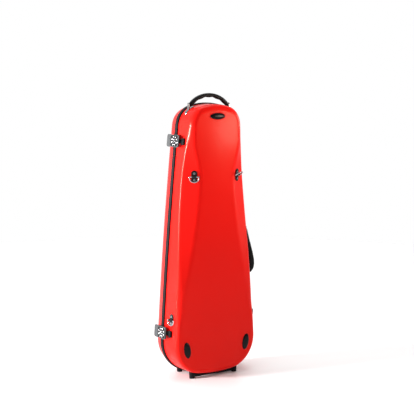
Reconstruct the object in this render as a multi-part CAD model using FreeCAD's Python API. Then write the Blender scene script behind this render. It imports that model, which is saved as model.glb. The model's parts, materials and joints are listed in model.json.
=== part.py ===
import FreeCAD, Part
import math
import os

from FreeCAD import Vector

# A hard violin case, standing on its wide end. X is its width, -Y the base shell's back,
# +Y the lid, +Z up. The seam between base and lid is the plane Y = 0 while modelling.

# Seam outline of the shells, right half, from the bottom up: five tangent arcs
SHELL_BOTTOM = 8.0
SHELL_TOP = 795.0
BOTTOM_ARC = 420.0
BOTTOM_CORNER = 97.0
HALF_WIDTH = 142.5
SIDE_ARC = 13000.0
TOP_CORNER = 60.0
TOP_HALF_WIDTH = 92.5
TOP_ARC = 175.0

# Base shell section: the wall runs in to a crease, and a facet from there to the flat back.
# At the waist the wall is upright and low, and the facet is widest.
BASE_DEPTH = 71.0
EDGE_DEPTH = 3.0
WALL_INSET = 10.5
WALL_UPRIGHT = 4.3
PANEL_INSET = 13.0
TOP_PANEL_INSET = 12.0
WAIST_HEIGHT = 570.0
WAIST_PANEL_INSET = 55.0
WAIST_DEPTH = 23.5
EDGE_BELOW = 425.0
EDGE_ABOVE = 265.0
FACET_BELOW = 400.0
FACET_ABOVE = 170.0
FACET_POWER = 2.2

# Lid section: (distance from the seam, inset from the seam outline)
LID_PROFILE = ((30.0, 3.0), (44.0, 7.0), (53.0, 15.0), (57.5, 30.0))
LID_DEPTH = LID_PROFILE[-1][0]
LID_END_EASE = 0.5

# Shell build-up
SKIN = 2.5
LINING = 3.0
INSIDE = SKIN + LINING

# Rim profiles and seal
RIM_GAP = 0.3
RIM_WIDTH = 7.5
RIM_PROUD = 3.5
RIM_INNER = 6.0
SHELL_EDGE = 2.0
SEAL_IN = 1.0
SEAL_OUT = 3.2
SEAL_HEIGHT = 1.5
SEAL_SEAT = 1.0
SEAL_CLEAR = 0.5

# Hinges, on the +X side
HINGE_HEIGHTS = (215.0, 560.0)
HINGE_OFFSET = 8.2
HINGE_LENGTH = 50.0
KNUCKLE_R = 3.6
KNUCKLE_SHARE = 14.0
KNUCKLE_GAP = 0.3
PIN_R = 1.5
PIN_CLEAR = 0.05
LEAF = 2.0
LEAF_REACH = 28.0
RIVET_R = 3.0
RIVET_PROUD = 1.2
RIVET_IN = 9.0
RIVET_ACROSS = 19.0

# Latches, on the -X side
LATCH_HEIGHTS = {"upper": 690.0, "lower": 138.0}
LEVER_FROM = -30.0
LEVER_TO = 24.0
LEVER_TALL = 36.0
LEVER_UNDER = 9.2
LEVER_THICK = 4.3
LEVER_PIVOT = (17.0, 5.0)
BAIL_WIRE_R = 1.1
BAIL_PIVOT = (-3.0, 7.6)
BAIL_TIP = -27.0
BAIL_HALF = 8.0

# Strap ring fittings
RING_WIRE_R = 1.6
RING_R = 13.5
SADDLE_TALL = 36.0
SADDLE_WIDE = 17.0
SADDLE_THICK = 2.0
SADDLE_HOOD_R = 4.2
RING_AXIS = 4.4
SADDLE_SINK = 8.0
SADDLE_SCREW_Y = 9.8

# Handles
TOP_HANDLE_X = 60.0
TOP_HANDLE_Y = -21.0
TOP_HANDLE_RISE = 26.0
SIDE_HANDLE_Z = 353.0
SIDE_HANDLE_HALF = 68.0
TOP_HANDLE_Z = 793.5
SIDE_HANDLE_Y = -17.0
SIDE_HANDLE_OUT = 7.5
GRIP_THICK = 11.0
GRIP_WIDE = 15.0
SCALLOP_R = 8.0
SCALLOP_DEEP = 2.6
EYE_R = 5.0
EYE_LONG = 9.0
EAR_GAP = 0.3
EAR_THICK = 3.0
BRACKET_THICK = 1.6

# Feet and rest pads
FOOT_X = 71.2
FOOT_R = 9.0
BASE_FOOT_Y = -50.0
LID_FOOT_Y = 27.0
FOOT_TALL = 22.0
FOOT_BAR = 9.0
FOOT_BAR_LIFT = 4.0
PAD_PROUD = 4.0
TOP_PAD_Z = 761.0
TOP_PAD_SIZE = (48.0, 18.0)
LOWER_PAD_X = 98.5
LOWER_PAD_Z = 92.0
LOWER_PAD_SIZE = (19.0, 43.0)
LOWER_PAD_LEAN = math.radians(9.0)

# Padding
PADDING_TOP = -14.0
RECESS_FLOOR = -60.0
LOWER_BOUT = (165.0, 104.0)
UPPER_BOUT = (345.0, 84.0)
NECK_HALF = 28.0
NECK_TOP = 735.0
NECK_FLOOR = -56.0
WAIST_HALF = 74.0
CUSHIONS = (
    ("lower_body_cushion", 125.0, 62.0, 44.0),
    ("upper_body_cushion", 372.0, 50.0, 40.0),
)
CUSHION_THICK = 12.0
CRADLE_Z = (560.0, 610.0)
CRADLE_TOP = -22.0
NOTCH_R = 17.0
STRAP_REACH = 14.0

# Accessory box and the open pocket on the other side of the neck
BOX_X = (33.0, 74.0)
BOX_Z = (468.0, 640.0)
BOX_FLOOR = -48.0
BOX_WALL = 2.0
BOX_HINGE_RISE = 3.4
BOX_PIN_R = 1.0
POCKET_Z = (470.0, 545.0)

# Bow holders in the lid
BOW_X = 48.0
BOW_HOLD_Z = 120.0
BOW_TIP_Z = 700.0
POST_TALL = 16.0
SPIN_THICK = 5.0
SPIN_WIDE = 15.0
SPIN_LONG = 52.0

# The seam plane and the mid-plane in the finished part's frame, whose origin is at the
# middle of the bottom of its box
CASE_X = -1.2
SEAM_Y = 11.4


# ---- outline ------------------------------------------------------------------------

def outline_arcs():
    """The right half of the seam outline as arcs (centre x, centre z, radius, start, end)."""
    low_x = HALF_WIDTH - BOTTOM_CORNER
    low_mid = SHELL_BOTTOM + BOTTOM_ARC
    low_z = low_mid - math.sqrt((BOTTOM_ARC - BOTTOM_CORNER) ** 2 - low_x ** 2)
    top_x = TOP_HALF_WIDTH - TOP_CORNER
    top_mid = SHELL_TOP - TOP_ARC
    top_z = top_mid + math.sqrt((TOP_ARC - TOP_CORNER) ** 2 - top_x ** 2)
    side_x, side_z = side_centre(low_x, low_z, top_x, top_z)
    turns = [
        -math.pi / 2,
        math.atan2(low_z - low_mid, low_x),
        math.atan2(low_z - side_z, low_x - side_x),
        math.atan2(top_z - side_z, top_x - side_x),
        math.atan2(top_z - top_mid, top_x),
        math.pi / 2,
    ]
    centres = [
        (0.0, low_mid, BOTTOM_ARC),
        (low_x, low_z, BOTTOM_CORNER),
        (side_x, side_z, SIDE_ARC),
        (top_x, top_z, TOP_CORNER),
        (0.0, top_mid, TOP_ARC),
    ]
    return [c + (turns[i], turns[i + 1]) for i, c in enumerate(centres)]


def side_centre(low_x, low_z, top_x, top_z):
    """Centre of the long side arc that runs smoothly into both corners."""
    low_reach = SIDE_ARC - BOTTOM_CORNER
    top_reach = SIDE_ARC - TOP_CORNER
    gap = math.hypot(top_x - low_x, top_z - low_z)
    along = (low_reach ** 2 - top_reach ** 2 + gap ** 2) / (2 * gap)
    across = math.sqrt(low_reach ** 2 - along ** 2)
    ux = (top_x - low_x) / gap
    uz = (top_z - low_z) / gap
    return low_x + along * ux - across * uz, low_z + along * uz + across * ux


ARCS = outline_arcs()
ARC_STEPS = (8, 12, 26, 12, 8)


def stations():
    """Points of the right half outline, with their outward directions: (x, z, nx, nz)."""
    found = []
    for (cx, cz, r, start, end), steps in zip(ARCS, ARC_STEPS):
        first = 1 if found else 0
        for i in range(first, steps + 1):
            angle = start + (end - start) * i / steps
            nx = math.cos(angle)
            nz = math.sin(angle)
            found.append((cx + r * nx, cz + r * nz, nx, nz))
    found[0] = (0.0, SHELL_BOTTOM, 0.0, -1.0)
    found[-1] = (0.0, SHELL_TOP, 0.0, 1.0)
    return found


def side_station(z):
    """The point of the right side arc at height z."""
    cx, cz, r = ARCS[2][:3]
    nz = (z - cz) / r
    nx = math.sqrt(1 - nz * nz)
    return cx + r * nx, z, nx, nz


# ---- section of the base ------------------------------------------------------------

def swell(z, below, above):
    """1 at the waist, falling smoothly to 0 below it and above it."""
    reach = above if z > WAIST_HEIGHT else below
    share = min(abs(z - WAIST_HEIGHT) / reach, 1.0)
    return math.cos(share * math.pi / 2) ** 2


def end_turn(nz):
    """0 on the long sides, 1 at the top, and 0.75 at the bottom, where the wall keeps some slope."""
    return nz ** 2 * (1.0 if nz > 0 else 0.75)


def wall_inset(station):
    upright = WALL_UPRIGHT * swell(station[1], EDGE_BELOW, EDGE_ABOVE)
    return (WALL_INSET - upright) * (1 - end_turn(station[3]))


def crease_depth(station):
    return BASE_DEPTH - EDGE_DEPTH - WAIST_DEPTH * swell(station[1], EDGE_BELOW, EDGE_ABOVE)


def panel_inset(station):
    """Inset of the flat back; the facet ends in a point low on the sides."""
    z = station[1]
    if z > WAIST_HEIGHT:
        rise = WAIST_PANEL_INSET - TOP_PANEL_INSET
        inset = TOP_PANEL_INSET + rise * swell(z, FACET_BELOW, FACET_ABOVE)
    else:
        share = min((WAIST_HEIGHT - z) / FACET_BELOW, 1.0)
        inset = WAIST_PANEL_INSET - (WAIST_PANEL_INSET - PANEL_INSET) * share ** FACET_POWER
    return inset * (1 - 0.4 * end_turn(station[3]))


def underside(nz):
    """How far a station looks down: 0 on the sides and top, 1 at the bottom."""
    return max(0.0, -nz) ** 2


def moved_in(station, inset, y):
    x, z, nx, nz = station
    return Vector(x - inset * nx, y, z - inset * nz)


def base_levels(skin, rim):
    """Right-half curves of the base body, made smaller all over by skin."""
    seam = [moved_in(s, skin - rim * wall_inset(s) / crease_depth(s), rim) for s in stations()]
    crease = [moved_in(s, wall_inset(s) + skin, 0.45 * skin - crease_depth(s)) for s in stations()]
    panel = [moved_in(s, panel_inset(s) + 0.7 * skin, skin - BASE_DEPTH) for s in stations()]
    return [seam, crease, panel]


def lid_levels(skin, rim):
    """Right-half curves of the lid body, made smaller all over by skin."""
    levels = [[moved_in(s, skin + lid_inset(s, rim, skin), rim) for s in stations()]]
    for depth, inset in LID_PROFILE:
        y = lid_level_y(depth, skin)
        ease = [1 - LID_END_EASE * underside(s[3]) for s in stations()]
        levels.append([moved_in(s, inset * e + skin, y) for s, e in zip(stations(), ease)])
    return levels


def lid_level_y(depth, skin):
    """How far from the seam a level of the lid lies when the body is made smaller by skin."""
    return depth - skin * (depth / LID_DEPTH) ** 4


def lid_inset(station, y, skin):
    """Inset of the lid's wall at y, between the seam and the first level."""
    first_depth, first_inset = LID_PROFILE[0]
    ease = 1 - LID_END_EASE * underside(station[3])
    return first_inset * ease * y / lid_level_y(first_depth, skin)


# ---- solids from outlines -----------------------------------------------------------

def station_lengths():
    """How far along the seam outline each station lies."""
    lengths = [0.0]
    for a, b in zip(stations(), stations()[1:]):
        lengths.append(lengths[-1] + math.hypot(b[0] - a[0], b[1] - a[1]))
    return lengths


LENGTHS = station_lengths()


def curve(points):
    """Smooth curve that passes each station's point at the same place along its length."""
    spline = Part.BSplineCurve()
    spline.interpolate(Points=points, Parameters=LENGTHS)
    return spline.toShape()


def mirrored(points):
    return [Vector(-p.x, p.y, p.z) for p in points]


def skinned(levels):
    """Closed solid whose skin runs straight from each outline to the next."""
    faces = []
    for side in (lambda points: points, mirrored):
        edges = [curve(side(points)) for points in levels]
        for first, second in zip(edges, edges[1:]):
            faces.append(Part.makeRuledSurface(first, second))
    for points in (levels[0], levels[-1]):
        faces.append(Part.Face(Part.Wire([curve(points), curve(mirrored(points))])))
    shell = Part.makeShell(faces)
    shell.sewShape()
    solid = Part.makeSolid(shell)
    if solid.Volume < 0:
        solid.reverse()
    return solid


def base_body(skin=0.0, rim=0.0):
    return skinned(base_levels(skin, rim))


def lid_body(skin=0.0, rim=0.0):
    return skinned(lid_levels(skin, rim))


def ring(outer, inner, y_from, y_to):
    """Flat-faced ring that follows the seam outline between two insets."""
    parts = []
    for inset in (outer, inner):
        levels = [[moved_in(s, inset, y) for s in stations()] for y in (y_from, y_to)]
        parts.append(skinned(levels))
    return parts[0].cut(parts[1])


# ---- small helpers ------------------------------------------------------------------

def box(x0, x1, y0, y1, z0, z1):
    return Part.makeBox(x1 - x0, y1 - y0, z1 - z0, Vector(x0, y0, z0))


def rod(start, end, radius):
    along = end - start
    return Part.makeCylinder(radius, along.Length, start, along)


def rounded(shape, radius, keep):
    """Round the edges that the test keep accepts."""
    edges = [e for e in shape.Edges if keep(e)]
    return shape.makeFillet(radius, edges) if edges else shape


def along_axis(index):
    """Test for straight edges that run along one local axis."""
    def test(edge):
        if not isinstance(edge.Curve, Part.Line):
            return False
        d = edge.Curve.Direction
        return abs(abs((d.x, d.y, d.z)[index]) - 1) < 1e-6
    return test


class Seat:
    """A local frame: right along `across`, up along `up`, outward along `out`."""

    def __init__(self, origin, out, up):
        out = Vector(out).normalize()
        across = Vector(up).cross(out).normalize()
        up = out.cross(across)
        self.place = FreeCAD.Placement(FreeCAD.Matrix(
            across.x, up.x, out.x, origin.x,
            across.y, up.y, out.y, origin.y,
            across.z, up.z, out.z, origin.z,
            0, 0, 0, 1))

    def put(self, shape):
        placed = shape.copy()
        placed.Placement = self.place.multiply(placed.Placement)
        return placed

    def point(self, x, y, z):
        return self.place.multVec(Vector(x, y, z))


def on_base(z, share, side, facet=False):
    """Seat on the base's side wall, or on its facet, at height z; share goes front to back."""
    def at(height, part):
        s = side_station(height)
        wall = moved_in(s, wall_inset(s), -crease_depth(s))
        if facet:
            first, last = wall, moved_in(s, panel_inset(s), -BASE_DEPTH)
        else:
            first, last = moved_in(s, 0.0, 0.0), wall
        p = first + (last - first) * part
        return Vector(p.x * side, p.y, p.z)

    origin = at(z, share)
    up = at(z + 5, share) - at(z - 5, share)
    back = at(z, share + 0.1) - at(z, share - 0.1)
    out = up.cross(back) * side * -1
    if out.x * side < 0:
        out = out * -1
    return Seat(origin, out, up)


def save(name, shape):
    if shape.ShapeType == "Compound" and len(shape.Solids) == 1:
        shape = shape.Solids[0]
    placed = shape.copy()
    placed.translate(Vector(CASE_X, SEAM_Y, 0))
    placed.exportStep("parts/%s.step" % name)
    good = placed.isValid() and all(s.isClosed() for s in placed.Solids)
    print("%-26s %d solids %9.1f cm3 %s" % (name, len(placed.Solids), placed.Volume / 1000, good))


def tell_axis(name, seat, local, along):
    """Print where a joint's axis lies in the finished part, and which way it points."""
    point = seat.point(*local) + Vector(CASE_X, SEAM_Y, 0)
    direction = seat.point(*along) - seat.point(0, 0, 0)
    print("axis %s %.4f %.4f %.4f %.6f %.6f %.6f" % (name, *point, *direction))


# ---- shells, rims, lining -----------------------------------------------------------

def hollow(body, edge, skin, opening):
    """Body cut back to the rim plane and hollowed."""
    return body(0.0, edge).cut(body(skin, opening))


def base_rim():
    outer = ring(-RIM_PROUD, RIM_INNER, -RIM_WIDTH, -RIM_GAP)
    groove = ring(SEAL_IN, SEAL_OUT, -RIM_GAP - SEAL_SEAT, 0.0)
    return outer.cut(base_body(0.0, -SHELL_EDGE).cut(base_body(SKIN, 0.0))).cut(groove)


def lid_rim():
    outer = ring(-RIM_PROUD, RIM_INNER, RIM_GAP, RIM_WIDTH)
    slot_top = SEAL_HEIGHT + SEAL_CLEAR
    groove = ring(SEAL_IN - SEAL_CLEAR, SEAL_OUT + SEAL_CLEAR, 0.0, slot_top)
    return outer.cut(lid_body(0.0, slot_top + 1.0).cut(lid_body(SKIN, 0.0))).cut(groove)


def build_shells():
    save("base_shell", hollow(base_body, -SHELL_EDGE, SKIN, 0.0))
    lid_edge = SEAL_HEIGHT + SEAL_CLEAR + 1.0
    save("lid_shell", hollow(lid_body, lid_edge, SKIN, 0.0))
    save("base_rim", base_rim())
    save("lid_rim", lid_rim())
    save("rim_seal", ring(SEAL_IN, SEAL_OUT, -RIM_GAP - SEAL_SEAT, SEAL_HEIGHT))
    rim_clear = RIM_WIDTH + 0.5
    save("base_lining", base_body(SKIN, -rim_clear).cut(base_body(INSIDE, 0.0)))
    save("lid_lining", lid_body(SKIN, rim_clear).cut(lid_body(INSIDE, 0.0)))



# ---- hinges -------------------------------------------------------------------------

def hinge_point(z):
    s = side_station(z)
    return Vector(s[0] + HINGE_OFFSET, 0.0, z)


HINGE_LOW, HINGE_HIGH = [hinge_point(z) for z in HINGE_HEIGHTS]
HINGE_AXIS = (HINGE_HIGH - HINGE_LOW).normalize()


def hinge_seat(point):
    """Frame on the hinge line: across points to the base, up is +X, out runs up the axis."""
    return Seat(point, HINGE_AXIS, Vector(1, 0, 0))


def knuckle(start, end):
    """Round barrel around the hinge line with its bore, between two places along it."""
    barrel = Part.makeCylinder(KNUCKLE_R, end - start, Vector(0, 0, start))
    return barrel, Part.makeCylinder(PIN_R + PIN_CLEAR, end - start + 2, Vector(0, 0, start - 1))


def hinge_leaf(seat, spans, away, body, thicker):
    """Leaf with its knuckles; away is +1 on the base and -1 on the lid."""
    foot = box(RIM_WIDTH + 1.0, LEAF_REACH, -16.0, -1.6, -HINGE_LENGTH / 2, HINGE_LENGTH / 2)
    if away < 0:
        foot = foot.mirror(Vector(0, 0, 0), Vector(1, 0, 0))
    foot = rounded(foot, 5.0, lambda e: e.Length < LEAF_REACH and along_axis(1)(e)
                   and abs(e.CenterOfMass.x) > LEAF_REACH - 1)
    leaf = seat.put(foot).common(thicker)
    bores = []
    for start, end in spans:
        barrel, bore = knuckle(start, end)
        arm = box(0.0, RIM_WIDTH + 2.5, -KNUCKLE_R, -KNUCKLE_R + 1.9, start, end)
        shank = box(RIM_WIDTH + 0.8, RIM_WIDTH + 2.8, -12.0, -KNUCKLE_R + 1.9, start, end)
        if away < 0:
            arm = arm.mirror(Vector(0, 0, 0), Vector(1, 0, 0))
            shank = shank.mirror(Vector(0, 0, 0), Vector(1, 0, 0))
        leaf = leaf.fuse([seat.put(barrel), seat.put(arm), seat.put(shank)])
        bores.append(seat.put(bore))
    return leaf.cut(body).cut(bores).removeSplitter()


def build_hinges(base, lid):
    thick = {"base": base_body(-LEAF), "lid": lid_body(-LEAF)}
    riveted = {"base": base_body(-LEAF - RIVET_PROUD), "lid": lid_body(-LEAF - RIVET_PROUD)}
    half = HINGE_LENGTH / 2
    tell_axis("lid_hinge", hinge_seat(HINGE_LOW), (0, 0, 0), (0, 0, -1))
    outer = ((-half, -half + KNUCKLE_SHARE), (half - KNUCKLE_SHARE, half))
    middle = ((-half + KNUCKLE_SHARE + KNUCKLE_GAP, half - KNUCKLE_SHARE - KNUCKLE_GAP),)
    rivets = {"base": [], "lid": []}
    for name, point in (("lower", HINGE_LOW), ("upper", HINGE_HIGH)):
        seat = hinge_seat(point)
        save(name + "_hinge_base_leaf", hinge_leaf(seat, outer, 1, base, thick["base"]))
        save(name + "_hinge_lid_leaf", hinge_leaf(seat, middle, -1, lid, thick["lid"]))
        save(name + "_hinge_pin", seat.put(Part.makeCylinder(PIN_R, HINGE_LENGTH, Vector(0, 0, -half))))
        for shell, away in (("base", 1), ("lid", -1)):
            for up in (RIVET_IN - half, half - RIVET_IN):
                foot = Vector(away * RIVET_ACROSS, -20.0, up)
                stem = seat.put(Part.makeCylinder(RIVET_R, 30.0, foot, Vector(0, 1, 0)))
                rivets[shell].append(stem.common(riveted[shell]).cut(thick[shell]))
    for shell, heads in rivets.items():
        save("hinge_rivets_" + shell, Part.makeCompound(heads))


# ---- latches ------------------------------------------------------------------------

def latch_seat(z):
    """Frame on the seam, in line with the base's wall: across runs from the base to the lid."""
    s = side_station(z)
    tilt = math.atan2(wall_inset(s), crease_depth(s))
    down = Vector(-s[3], 0, -s[2])
    out = Vector(-math.cos(tilt), -math.sin(tilt), 0)
    out = (out - down * out.dot(down)).normalize()
    return Seat(Vector(-s[0], 0, z), out, down)


def lever():
    """Latch lever: rounded plate, pivot barrel at the lid end, lugs for the bail."""
    half = LEVER_TALL / 2
    plate = box(LEVER_FROM, LEVER_TO, -half, half, LEVER_UNDER, LEVER_UNDER + LEVER_THICK)
    plate = rounded(plate, 6.0, along_axis(2))
    top = LEVER_UNDER + LEVER_THICK
    plate = rounded(plate, 1.4, lambda e: abs(e.BoundBox.ZMin - top) < 1e-6
                    and abs(e.BoundBox.ZMax - top) < 1e-6)
    px, pz = LEVER_PIVOT
    barrel = Part.makeCylinder(3.0, 20.0, Vector(px, -10.0, pz), Vector(0, 1, 0))
    web = box(px - 3.0, px + 3.0, -10.0, 10.0, pz, LEVER_UNDER + 0.5)
    bx, bz = BAIL_PIVOT
    lugs = []
    for y in (-5.5, 2.5):
        lug = Part.makeCylinder(2.3, 3.0, Vector(bx, y, bz), Vector(0, 1, 0))
        lugs += [lug, box(bx - 2.3, bx + 2.3, y, y + 3.0, bz, LEVER_UNDER + 0.5)]
    bores = [
        Part.makeCylinder(PIN_R + PIN_CLEAR, 24.0, Vector(px, -12.0, pz), Vector(0, 1, 0)),
        Part.makeCylinder(BAIL_WIRE_R + PIN_CLEAR, 20.0, Vector(bx, -10.0, bz), Vector(0, 1, 0)),
    ]
    seat_cut = inlay_block(LEVER_UNDER + LEVER_THICK - 1.0, 3.0)
    return plate.fuse([barrel, web] + lugs).cut(bores).cut(seat_cut).removeSplitter()


def inlay_block(bottom, height):
    block = box(LEVER_FROM + 3.0, 3.0, -LEVER_TALL / 2 + 3.0, LEVER_TALL / 2 - 3.0, bottom, bottom + height)
    return rounded(block, 4.5, along_axis(2))


def lever_inlay():
    """Bright inlay in the lever: low radiating ribs on a plain plate."""
    top = LEVER_UNDER + LEVER_THICK
    plate = inlay_block(top - 1.0, 1.0)
    centre = Vector((LEVER_FROM + 6.0) / 2, 0, top - 0.2)
    ribs = []
    for i in range(8):
        rib = box(4.0, 10.0, -0.9, 0.9, 0.0, 0.9)
        rib.rotate(Vector(0, 0, 0), Vector(0, 0, 1), 22.5 + 45.0 * i)
        rib.translate(centre)
        ribs.append(rib)
    return plate.fuse(ribs).removeSplitter()


def bail():
    """Wire loop from the lugs under the lever to the keeper."""
    bx, bz = BAIL_PIVOT
    corners = [
        Vector(bx, -BAIL_HALF, bz), Vector(bx, BAIL_HALF, bz),
        Vector(BAIL_TIP, BAIL_HALF, bz), Vector(BAIL_TIP, -BAIL_HALF, bz),
    ]
    wires = []
    for a, b in zip(corners, corners[1:] + corners[:1]):
        wires.append(rod(a, b, BAIL_WIRE_R))
        wires.append(Part.makeSphere(BAIL_WIRE_R, a))
    return wires[0].fuse(wires[1:]).removeSplitter()


def keeper(seat, base):
    """Flared catch on the base: narrow under the bail, wide at its far end."""
    outline = [(-22.5, 5.5), (-29.0, 5.0), (-38.0, 10.5), (-45.0, 9.0)]
    points = [Vector(x, y, -4.0) for x, y in outline]
    points += [Vector(x, -y, -4.0) for x, y in reversed(outline)]
    face = Part.Face(Part.makePolygon(points + points[:1]))
    block = face.extrude(Vector(0, 0, 10.0))
    block = rounded(block, 2.0, lambda e: along_axis(2)(e) and e.CenterOfMass.x < -30)
    top = 6.0
    block = rounded(block, 1.2, lambda e: abs(e.BoundBox.ZMin - top) < 1e-6
                    and e.CenterOfMass.x < -29)
    return seat.put(block).cut(base)


def latch_bracket(seat, lid):
    """Block on the lid with two ears that carry the lever's pin."""
    px, pz = LEVER_PIVOT
    ears = []
    for y in (-14.0, 10.3):
        ear = Part.makeCylinder(3.4, 3.7, Vector(px, y, pz), Vector(0, 1, 0))
        ears += [ear, box(px - 3.4, px + 3.4, y, y + 3.7, -14.0, pz)]
    plate = box(px - 6.0, px + 9.0, -14.0, 14.0, -14.0, -4.4)
    block = ears[0].fuse(ears[1:] + [plate])
    bore = Part.makeCylinder(PIN_R + PIN_CLEAR, 40.0, Vector(px, -20.0, pz), Vector(0, 1, 0))
    return seat.put(block.cut(bore)).cut(lid).removeSplitter()


def build_latches(base, lid):
    px, pz = LEVER_PIVOT
    for name, z in LATCH_HEIGHTS.items():
        seat = latch_seat(z)
        save(name + "_latch_lever", seat.put(lever()))
        save(name + "_latch_inlay", seat.put(lever_inlay()))
        save(name + "_latch_bail", seat.put(bail()))
        save(name + "_latch_keeper", keeper(seat, base))
        save(name + "_latch_bracket", latch_bracket(seat, lid))
        pin = Part.makeCylinder(PIN_R, 28.0, Vector(px, -14.0, pz), Vector(0, 1, 0))
        save(name + "_latch_pin", seat.put(pin))
        tell_axis(name + "_pivot", seat, (px, 0, pz), (0, 1, 0))
        tell_axis(name + "_bail", seat, (BAIL_PIVOT[0], 0, BAIL_PIVOT[1]), (0, 1, 0))


# ---- strap ring fittings ------------------------------------------------------------

RING_SEATS = {
    "upper_left": (594.0, 0.64, -1, True),
    "upper_right": (594.0, 0.64, 1, True),
    "lower_left": (179.0, 0.6, -1, False),
    "lower_right": (179.0, 0.6, 1, False),
}
RAISED = {"upper_right": 125.0}


def saddle():
    """Oval plate with a hood over the ring's bar."""
    half = SADDLE_TALL / 2 - SADDLE_WIDE / 2
    plate = box(-SADDLE_WIDE / 2, SADDLE_WIDE / 2, -half, half, 0.0, SADDLE_THICK)
    for y in (-half, half):
        plate = plate.fuse(Part.makeCylinder(SADDLE_WIDE / 2, SADDLE_THICK, Vector(0, y, 0)))
    hood = Part.makeCylinder(SADDLE_HOOD_R, 13.0, Vector(-6.5, 0, RING_AXIS), Vector(1, 0, 0))
    hood = hood.fuse(box(-6.5, 6.5, -SADDLE_HOOD_R, SADDLE_HOOD_R, 0.0, RING_AXIS))
    bore_r = RING_WIRE_R + PIN_CLEAR
    bore = Part.makeCylinder(bore_r, 20.0, Vector(-10, 0, RING_AXIS), Vector(1, 0, 0))
    return plate.fuse(hood).removeSplitter().cut(bore)


def d_ring():
    """D-shaped ring hanging from its bar, in the plane of the fitting."""
    bar = rod(Vector(-RING_R, 0, RING_AXIS), Vector(RING_R, 0, RING_AXIS), RING_WIRE_R)
    bow = Part.makeTorus(RING_R, RING_WIRE_R, Vector(0, -2.0, RING_AXIS), Vector(0, 0, 1), -180, 180, 180)
    bow.rotate(Vector(0, -2.0, RING_AXIS), Vector(0, 0, 1), 180)
    ends = []
    for x in (-RING_R, RING_R):
        ends.append(Part.makeSphere(RING_WIRE_R, Vector(x, 0, RING_AXIS)))
        ends.append(rod(Vector(x, 0, RING_AXIS), Vector(x, -2.0, RING_AXIS), RING_WIRE_R))
    return bar.fuse([bow] + ends).removeSplitter()


def build_rings(base):
    screws = []
    for name, place in RING_SEATS.items():
        seat = on_base(*place)
        plate = saddle().fuse(saddle_foot(SADDLE_SINK)).removeSplitter()
        save(name + "_saddle", seat.put(plate).cut(base))
        ring = d_ring()
        ring.rotate(Vector(0, 0, RING_AXIS), Vector(1, 0, 0), -RAISED.get(name, 0.0))
        save(name + "_ring", seat.put(ring))
        for y in (-SADDLE_SCREW_Y, SADDLE_SCREW_Y):
            head = Part.makeCylinder(3.4, 1.2, Vector(0, y, SADDLE_THICK))
            slot = box(-3.0, 3.0, y - 0.4, y + 0.4, SADDLE_THICK + 0.6, SADDLE_THICK + 2)
            screws.append(seat.put(head.cut(slot)))
        tell_axis(name, seat, (0, 0, RING_AXIS), (1, 0, 0))
    save("saddle_screws", Part.makeCompound(screws))


def saddle_foot(deep):
    """The saddle's plate carried down to meet the shell."""
    half = SADDLE_TALL / 2 - SADDLE_WIDE / 2
    foot = box(-SADDLE_WIDE / 2, SADDLE_WIDE / 2, -half, half, -deep, 0.0)
    for y in (-half, half):
        foot = foot.fuse(Part.makeCylinder(SADDLE_WIDE / 2, deep, Vector(0, y, -deep)))
    return foot


# ---- handles ------------------------------------------------------------------------

def arched_band(half, rise):
    """Arch along local X, standing in local Z, with scallops for the fingers."""
    radius = (half ** 2 + rise ** 2) / (2 * rise)
    sweep = math.asin(half / radius)
    middle = Vector(0, 0, rise - radius)
    across = Vector(0, GRIP_WIDE / 2, 0)
    outer = Part.makeCylinder(radius + GRIP_THICK / 2, GRIP_WIDE, middle - across, Vector(0, 1, 0))
    inner = Part.makeCylinder(radius - GRIP_THICK / 2, GRIP_WIDE, middle - across, Vector(0, 1, 0))
    band = outer.cut(inner).common(box(-half, half, -20, 20, 0.0, rise + 30))
    scallops = []
    for i in (-1.5, -0.5, 0.5, 1.5):
        angle = math.pi / 2 - sweep * 0.42 * i
        reach = radius - GRIP_THICK / 2 - SCALLOP_R + SCALLOP_DEEP
        at = middle + Vector(reach * math.cos(angle), -20, reach * math.sin(angle))
        scallops.append(Part.makeCylinder(SCALLOP_R, 40.0, at, Vector(0, 1, 0)))
    shape = band.cut(scallops)
    return rounded(shape, 2.5, lambda e: abs(abs(e.CenterOfMass.y) - GRIP_WIDE / 2) < 0.01
                   and e.CenterOfMass.z > rise - 2 and e.Length > half)


def sagging_band(half):
    """Soft grip whose slack has dropped towards its lower end, at local +X."""
    outer = [(-half, 4.5), (-34.0, 11.0), (6.0, 20.0), (36.0, 24.0), (56.0, 20.0), (half, 4.5)]
    inner = [(half - 3.0, -4.5), (46.0, 7.5), (30.0, 11.5), (0.0, 8.5), (-34.0, 1.5), (-half, -4.5)]
    lines = []
    for points in (outer, inner):
        spline = Part.BSplineCurve()
        spline.interpolate([Vector(x, -GRIP_WIDE / 2, z) for x, z in points])
        lines.append(spline)
    edges = [line.toShape() for line in lines]
    for first, second in ((lines[0], lines[1]), (lines[1], lines[0])):
        edges.append(Part.LineSegment(first.EndPoint, second.StartPoint).toShape())
    band = Part.Face(Part.Wire(Part.__sortEdges__(edges))).extrude(Vector(0, GRIP_WIDE, 0))
    return rounded(band, 2.0, lambda e: abs(abs(e.CenterOfMass.y) - GRIP_WIDE / 2) < 0.01
                   and e.Length > half)


def with_eyes(band, half):
    """Add the round ends that turn on the bracket pins."""
    shape = band
    for side in (-1, 1):
        eye = Part.makeCylinder(EYE_R, EYE_LONG, Vector(side * half - EYE_LONG / 2, 0, 0), Vector(1, 0, 0))
        shape = shape.fuse(eye)
    bore = Part.makeCylinder(PIN_R + PIN_CLEAR, 2 * half + 40, Vector(-half - 20, 0, 0), Vector(1, 0, 0))
    core = box(-half + EYE_LONG, half - EYE_LONG, -20, 20, -20, 20)
    ears = [box(side * (half + EYE_LONG / 2 + 8.0) - 8.0, side * (half + EYE_LONG / 2 + 8.0) + 8.0,
                -20, 20, -20, 40) for side in (-1, 1)]
    return shape.cut(ears).cut(bore.cut(core)).removeSplitter()


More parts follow.
